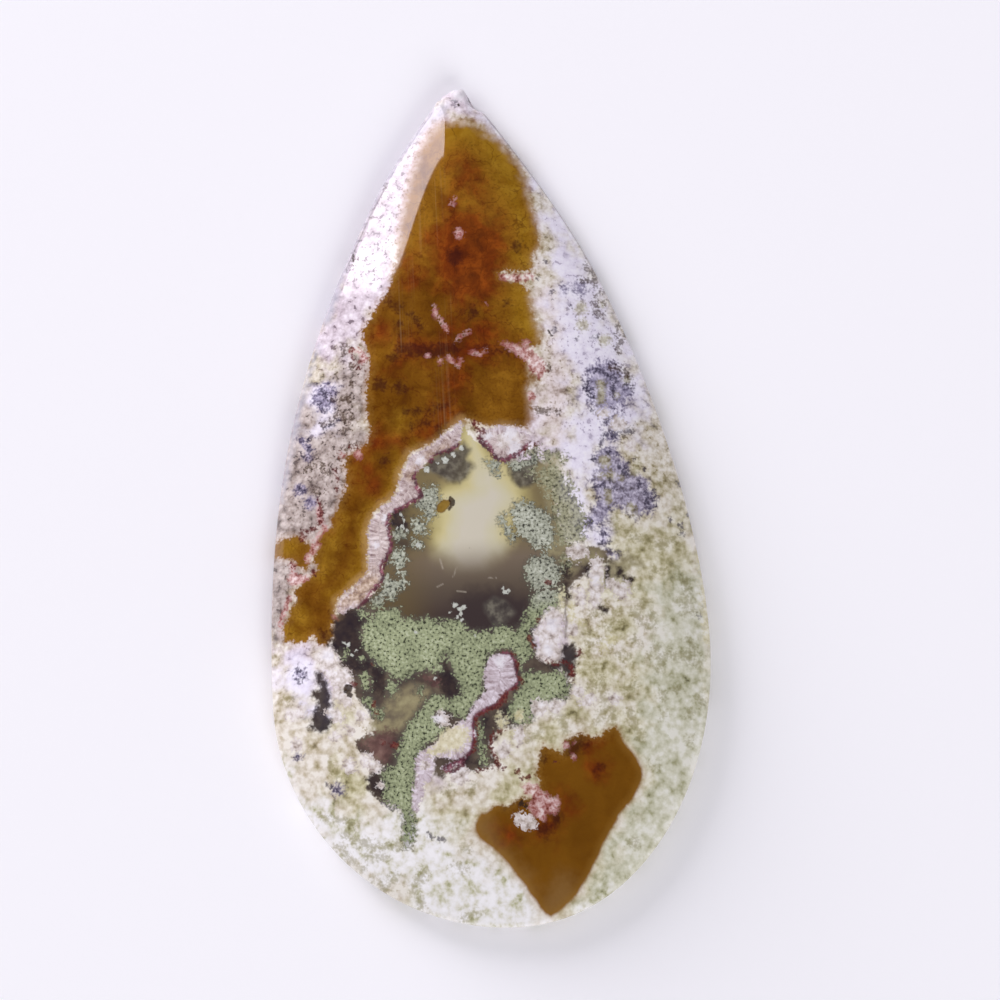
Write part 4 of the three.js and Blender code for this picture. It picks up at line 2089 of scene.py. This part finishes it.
@dataclass
class Cabochon:
    """The polished stone: its mesh, its drawn markings and its unwrapping.

    The markings run through the stone and drift a little on the way to its back, by `drift`
    pixels in its middle. The patterns of the back lie `back_apart` millimetres away from those
    of the face, so that they differ. The unwrapping is a square sheet of `sheet` millimetres.
    """

    form: StoneForm
    view: PictureView
    name: str = "polished_stone"
    drift: float = 14.0
    drift_middle: float = -5.0
    drift_reach: float = 1.35
    back_apart: float = 60.0
    broken_from: float = 23.6
    broken_over: float = 0.5
    sheet: float = 56.5
    sheet_spread: float = 0.1
    sheet_margin: float = 0.2
    sheet_gap: float = 1.2

    def mesh(self) -> bpy.types.Mesh:
        """Builds the stone's mesh, in metres, with its seam and poles closed.

        Returns:
            The mesh.
        """
        form = self.form
        edge = form.outline()
        side, rows = form.inward(edge), form.rows()
        places = np.stack([form.ring(edge, row, side) for row in rows], axis=1)
        shape = places.shape
        places = form.roughened(form.chipped(places.reshape(-1, 3))).reshape(shape)
        bm = bmesh.new()
        bmesh.ops.create_grid(bm, x_segments=form.around, y_segments=len(rows) - 1, size=0.5)
        for vertex in bm.verts:
            place = round((vertex.co.x + 0.5) * form.around)
            row = round((vertex.co.y + 0.5) * (len(rows) - 1))
            vertex.co = places[place, row] * MM
        bmesh.ops.remove_doubles(bm, verts=bm.verts[:], dist=1e-8)
        bmesh.ops.recalc_face_normals(bm, faces=bm.faces[:])
        for face in bm.faces:
            face.smooth = True
        data = bpy.data.meshes.new(self.name)
        bm.to_mesh(data)
        bm.free()
        return data

    def vertex_places(self, data: bpy.types.Mesh) -> np.ndarray:
        """Where the mesh's vertices are.

        Args:
            data: The mesh.

        Returns:
            Their places in millimetres, one row each.
        """
        co = np.empty(len(data.vertices) * 3, np.float32)
        data.vertices.foreach_get("co", co)
        return co.reshape(-1, 3).astype(float) / MM

    def seen_at(self, places: np.ndarray) -> np.ndarray:
        """Where places of the stone take their markings from.

        Args:
            places: The places in millimetres, one row each.

        Returns:
            Pixels of the picture, one row each.
        """
        pixels = self.view.pixels(places)
        x, y, z = places.T
        half = self.form.length / 2
        away = np.hypot(x / (half * 0.5), (y - self.drift_middle) / half * 1.05)
        share = np.clip(self.drift_reach - away, 0, 1) * np.clip(1 - z / 0.1, 0, 1)
        pixels[:, 0] += share * self.drift * (np.sin(0.31 * y + 1.0) + 0.6 * np.sin(0.83 * x))
        pixels[:, 1] += share * self.drift * (np.sin(0.37 * x + 2.0) + 0.6 * np.sin(0.71 * y))
        return pixels

    def draw(self, data: bpy.types.Mesh) -> None:
        """Writes each marking's depth onto the mesh, in millimetres.

        Args:
            data: The mesh.
        """
        places = self.vertex_places(data)
        pixels = self.seen_at(places)
        scale = self.view.pixels_per_mm
        for mark, drawing in DRAWINGS.items():
            self.write(data, mark.value, drawing.depth(pixels) / scale)
        broken = np.clip((places[:, 1] - self.broken_from) / self.broken_over, 0, 1)
        self.write(data, "run", DRAWINGS[Mark.CRUST].run(pixels) / scale)
        self.write(data, "broken", broken)
        self.write(data, "flat", self.laid_flat(places))

    def laid_flat(self, places: np.ndarray) -> np.ndarray:
        """Spreads the dome and its edge out flat for the patterns, and the back apart from them.

        Args:
            places: Places of the stone, one row each.

        Returns:
            The places of the patterns, one row each.
        """
        below = np.clip(self.form.girdle_top - places[:, 2], 0, None)
        out = places[:, :2] - np.array(self.form.crown)
        out /= np.maximum(np.hypot(*out.T), 1e-6)[:, None]
        edge = below < self.form.girdle_top - 1e-4
        toward = np.where(edge[:, None], out, np.array([1.0, 0.0]))
        flat = np.zeros((len(places), 3))
        flat[:, :2] = places[:, :2] + np.where(edge, below, self.back_apart)[:, None] * toward
        return flat

    def write(self, data: bpy.types.Mesh, name: str, values: np.ndarray) -> None:
        """Stores one number or one place for each vertex.

        Args:
            data: The mesh.
            name: The name to store them under.
            values: The numbers, or the places as rows.
        """
        kind, key = ("FLOAT", "value") if values.ndim == 1 else ("FLOAT_VECTOR", "vector")
        attribute = data.attributes.new(name, kind, "POINT")
        attribute.data.foreach_set(key, values.astype(np.float32).ravel())

    def unwrap(self, data: bpy.types.Mesh) -> None:
        """Lays the dome with its edge, and the back beside it, flat on one square sheet.

        Args:
            data: The mesh.
        """
        form = self.form
        corner = np.empty(len(data.loops), np.int32)
        data.loops.foreach_get("vertex_index", corner)
        under = np.repeat(
            [face.normal.z < -0.9 for face in data.polygons],
            [face.loop_total for face in data.polygons],
        )
        spot = self.vertex_places(data)[corner]
        below = np.clip((form.girdle_top - spot[:, 2]) / form.girdle_top, 0, 1)
        crown = np.array(form.crown)
        top = crown + (spot[:, :2] - crown) * (1 + self.sheet_spread * below)[:, None]
        half = form.width / 2 * (1 + self.sheet_spread)
        back = half * 2 + form.width / 2 + self.sheet_gap - spot[:, 0]
        u = np.where(under, back, top[:, 0] + half + self.sheet_margin)
        v = np.where(under, spot[:, 1], top[:, 1]) + self.sheet / 2
        uv = np.stack([u, v], axis=1) / self.sheet
        layer = data.uv_layers.new(name="OFBake")
        layer.data.foreach_set("uv", uv.astype(np.float32).ravel())

    def build(self) -> bpy.types.Object:
        """Makes the stone and lets it stand for its solid.

        Returns:
            The stone.
        """
        data = self.mesh()
        self.draw(data)
        self.unwrap(data)
        data.materials.append(PolishedAgate().finish())
        stone = bpy.data.objects.new(self.name, data)
        bpy.context.scene.collection.objects.link(stone)
        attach(stone, "root")
        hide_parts("cabochon")
        return stone


# The stage


@dataclass(frozen=True)
class SoftLight:
    """A soft light that points at the stone: rectangular, or oval where it shows in the polish.

    The heading runs anticlockwise from +X and the height is above the table, in degrees. The
    roll turns the light about the line to the stone. The distance and the size are in metres.
    """

    name: str
    heading: float
    height: float
    distance: float
    size: Point
    watts: float
    roll: float = 0.0
    mirrored: bool = False
    tint: Place = (1.0, 1.0, 1.0)

    def build(self) -> bpy.types.Object:
        """Hangs the light over the table.

        Returns:
            The light.
        """
        data = bpy.data.lights.new(self.name, "AREA")
        data.shape = "ELLIPSE" if self.mirrored else "RECTANGLE"
        data.size, data.size_y = self.size
        data.energy = self.watts
        data.color = self.tint
        light = bpy.data.objects.new(self.name, data)
        turn, rise = math.radians(self.heading), math.radians(self.height)
        level = math.cos(rise)
        toward = Vector((math.cos(turn) * level, math.sin(turn) * level, math.sin(rise)))
        light.location = toward * self.distance
        turned = toward.to_track_quat("Z", "Y") @ Quaternion((0, 0, 1), math.radians(self.roll))
        light.rotation_euler = turned.to_euler()
        light.visible_glossy = self.mirrored
        bpy.context.scene.collection.objects.link(light)
        return light


@dataclass(frozen=True)
class Studio:
    """A pale table under soft light, with one softbox at the upper left that the stone mirrors."""

    table_side: float = 3.0
    world_color: Rgb = (240, 238, 248)
    world_strength: float = 0.47
    lights: tuple[SoftLight, ...] = (
        SoftLight(
            "softbox", heading=132.0, height=3.1, distance=0.6, size=(0.259, 0.977), watts=4.3,
            roll=5.0, mirrored=True, tint=(0.97, 0.91, 1.0),
        ),
        SoftLight("key", heading=124.0, height=22.0, distance=0.8, size=(0.5, 0.5), watts=2.5),
        SoftLight("fill", heading=285.0, height=35.0, distance=0.9, size=(0.5, 0.5), watts=3.7),
    )

    def lay_table(self) -> None:
        """Lays the table under the stone."""
        bm = bmesh.new()
        bmesh.ops.create_grid(bm, x_segments=1, y_segments=1, size=self.table_side / 2)
        data = bpy.data.meshes.new("table")
        bm.to_mesh(data)
        bm.free()
        data.materials.append(TablePaint().finish())
        table = bpy.data.objects.new("table", data)
        bpy.context.scene.collection.objects.link(table)

    def light_world(self) -> None:
        """Sets the pale world, which the polish doesn't mirror, and the plain view colours."""
        world = bpy.data.worlds.new("studio")
        world.use_nodes = True
        sky = world.node_tree.nodes["Background"]
        sky.inputs["Color"].default_value = linear(self.world_color)
        sky.inputs["Strength"].default_value = self.world_strength
        bpy.context.scene.world = world
        world.cycles_visibility.glossy = False
        bpy.context.scene.view_settings.view_transform = "Standard"
        bpy.context.scene.view_settings.look = "None"

    def build(self) -> None:
        """Lays the table and sets the lights and the world."""
        self.lay_table()
        for light in self.lights:
            light.build()
        self.light_world()


def main() -> None:
    """Builds the view, the stone and the studio in order."""
    logging.basicConfig(level=logging.INFO, format="%(name)s: %(message)s")
    view = PictureView()
    view.make_camera()
    stone = Cabochon(StoneForm(), view).build()
    LOG.info("%s: %d faces", stone.name, len(stone.data.polygons))
    studio = Studio()
    studio.build()
    LOG.info("studio: %d lights", len(studio.lights))


if __name__ == "__main__":
    main()
